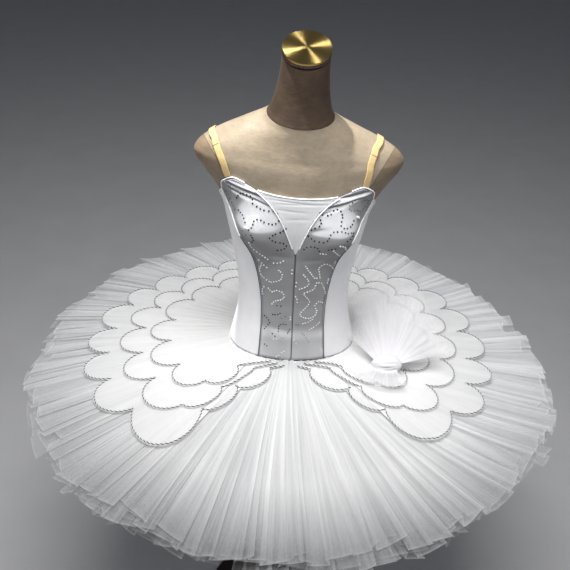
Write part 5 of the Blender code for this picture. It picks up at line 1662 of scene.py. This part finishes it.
def bow_sheet(name, node, heading, spread, length, rays, fold, shape, cover, seed,
              tuck=1.0, shift=0.0):
    """Gathered net spreading from the knot; shape is (edge, crown, steps) as in the CAD."""
    rng = np.random.default_rng(seed)
    rows, columns = 34, rays * 6 + 1
    along = np.linspace(0, 1, rows)[:, None]
    share = np.linspace(-1, 1, columns)[None, :]
    edge_table, crown_table, steps = shape
    lifted = Through(*zip(*steps))(along)
    smooth_edge = Through(*zip(*edge_table))(share)
    crown = Through(*zip(*crown_table))(share)
    wobble = sum(rng.uniform(-1, 1) * np.sin(share * c + rng.uniform(0, 6.28)) for c in (3, 7, 13))
    a = np.radians(heading + spread * share + 1.4 * along * wobble)
    edge = smooth_edge * (1 + 0.016 * np.sin(share * 17 + seed) + 0.014 * np.sin(
        share * 41 + 2 * seed) + 0.010 * np.sin(share * 73 + 3 * seed))
    reach = length * along * edge
    pleat = np.zeros_like(reach)
    for c, w in ((rays * 3.14, 1.0), (rays * 1.7, 0.7), (rays * 5.3, 0.35)):
        pleat = pleat + w * np.sin(share * c + rng.uniform(0, 6.28)
                                   + along * rng.uniform(-1.2, 1.2))
    rise = lifted * crown + fold * pleat * along**0.8 + shift * along
    across = (KNOT["half"][0] + ROOT_GAP) * tuck
    ahead = (KNOT["half"][1] + ROOT_GAP) * tuck
    points = knot_at + np.stack([(reach + across) * np.sin(a), (reach + ahead) * np.cos(a),
                                 rise], -1)
    uv = np.stack([np.broadcast_to(share * spread * 0.0020, reach.shape), reach], -1)
    density = np.interp(along, [0, 0.25, 1], cover) + np.zeros_like(reach)
    data = mesh_of(name, points, grid_faces(rows, columns), uv, {"cover": density})
    return add(name, data, MATERIAL["bow_net"], node), points


FAN_SHAPE = (FAN_EDGE, FAN_CROWN, [(0.0, 0.0), (0.30, 0.35), (0.65, 0.72), (1.0, 1.0)])
TAIL_SHAPE = (TAIL_EDGE, TAIL_CROWN, [(0.0, 0.0), (0.50, 0.40), (1.0, 1.0)])
bow = [
    bow_sheet("bow_fan_a", "hip_bow_fan", 14.0, 62.0, 0.160, 15, 0.0011, FAN_SHAPE,
              [0.86, 0.56, 0.10], 5),
    bow_sheet("bow_fan_b", "hip_bow_fan", 10.0, 55.0, 0.152, 12, 0.0013, FAN_SHAPE,
              [0.86, 0.52, 0.08], 6, shift=-0.009),
    bow_sheet("bow_fan_c", "hip_bow_fan", 20.0, 54.0, 0.148, 11, 0.0013, FAN_SHAPE,
              [0.86, 0.52, 0.08], 7, shift=-0.018),
    bow_sheet("bow_tail_a", "hip_bow_tail", 204.0, 58.0, 0.040, 9, 0.0010, TAIL_SHAPE,
              [0.90, 0.62, 0.35], 8),
]
rng = np.random.default_rng(9)
u = np.linspace(0, np.pi, 40)[:, None]
v = np.linspace(0, 2 * np.pi, 73)[None, :]
crumple = 1 + 0.05 * np.sin(9 * v + 2 * u) + 0.05 * np.sin(14 * v - 3 * u + 1) + 0.03 * np.sin(
    23 * v + 5 * u)
crumple = 1 + (crumple - 1) * np.sin(u)
waist = 1 - 0.10 * np.exp(-((np.cos(u)) / 0.25) ** 2)
hx, hy, hz = KNOT["half"]
knot_points = knot_at + np.stack([hx * np.cos(u) + 0 * v, hy * np.sin(u) * np.cos(v) * crumple
                                  * waist, hz * np.sin(u) * np.sin(v) * crumple * waist], -1)
uv = np.stack([np.broadcast_to(v * 0.012, (40, 73)), np.broadcast_to(u * 0.014, (40, 73))], -1)
data = mesh_of("bow_knot", knot_points, grid_faces(40, 73), uv, {"cover": np.full((40, 73), 0.9)})
build = bmesh.new()
build.from_mesh(data)
bmesh.ops.remove_doubles(build, verts=build.verts, dist=1e-5)
bmesh.ops.recalc_face_normals(build, faces=build.faces)
build.to_mesh(data)
build.free()
add("bow_knot", data, MATERIAL["bow_net"], "hip_bow_knot")

# -------------------------------------------------------------- shoulders
# The form leans: its left shoulder is a little lower than its right.
LEANING = ("torso_cover", "arm_cover", "neck_cover", "front_panel", "side_", "back_panel",
           "plastron", "back_placket", "neck_binding", "cup_piping", "seam_", "centre_front",
           "strap_", "studs_")
for made in bpy.data.objects:
    if made.type == "MESH" and made.name.startswith(LEANING) and made.name not in cad_names:
        spots = np.empty(3 * len(made.data.vertices))
        made.data.vertices.foreach_get("co", spots)
        spots = spots.reshape(-1, 3)
        height = spots[:, 2] - SKIRT_HEIGHT
        share = 1.0
        for t in ((height - 0.12) / 0.24, (0.575 - height) / 0.075):
            t = np.clip(t, 0, 1)
            share = share * t * t * (3 - 2 * t)
        t = np.abs(spots[:, 0]) / 0.062
        bend = t - np.clip(t - 1, 0, 1.5) ** 2 / 3 - np.maximum(t - 2.5, 0)
        spots[:, 2] -= SHOULDER_DIP * np.copysign(bend, spots[:, 0]) * share
        made.data.vertices.foreach_set("co", spots.ravel())
        made.data.update()

# ------------------------------------------------- cloth cuts and the end
for name, node, (made, points) in nets:
    declare(points)
for key, (made, points) in overlays.items():
    declare(points)
for made, points in bow:
    declare(points)
extras = {"front_left": ["cup_left", "braid_left", "seam_left", "neck_left", "centre"],
          "front_right": ["cup_right", "braid_right", "seam_right", "neck_right"]}
for key, (made, points) in panels.items():
    held = [trims[t] for t in extras.get(key, ())]
    held += [studs[k] for k in studs if "front_" + k.split("_")[1] == key]
    declare(points)
declare(plastron_points)
declare(placket_points)
for word in ("left", "right"):
    declare(straps[word][1])
    declare(straps["fold_" + word][1])
for word in ("front", "back"):
    declare(briefs[word][1])

# The shoulder lamp reaches the form and the bodice, not the skirt under them.
lit = bpy.data.collections.new("under_shoulder_lamp")
cap_lit = bpy.data.collections.new("under_cap_lamps")
form_lit = bpy.data.collections.new("under_form_lamp")
rest_lit = bpy.data.collections.new("under_overhead")
for made in bpy.data.objects:
    if made.type == "MESH" and not made.name.startswith(
            ("net_ring", "overlay", "scallop_cord", "bow", "floor", "cap_")):
        lit.objects.link(made)
    elif made.name == "cap_disc":
        cap_lit.objects.link(made)
for made in bpy.data.objects:
    if made.type == "MESH":
        form = made.name.startswith(("torso_cover", "arm_cover", "neck_cover", "strap_band",
                                     "strap_fold"))
        (form_lit if form else rest_lit).objects.link(made)
form_lamp.light_linking.receiver_collection = form_lit
soft[0].light_linking.receiver_collection = rest_lit
lamp_object.light_linking.receiver_collection = lit
for made in cap_lamps:
    made.light_linking.receiver_collection = cap_lit
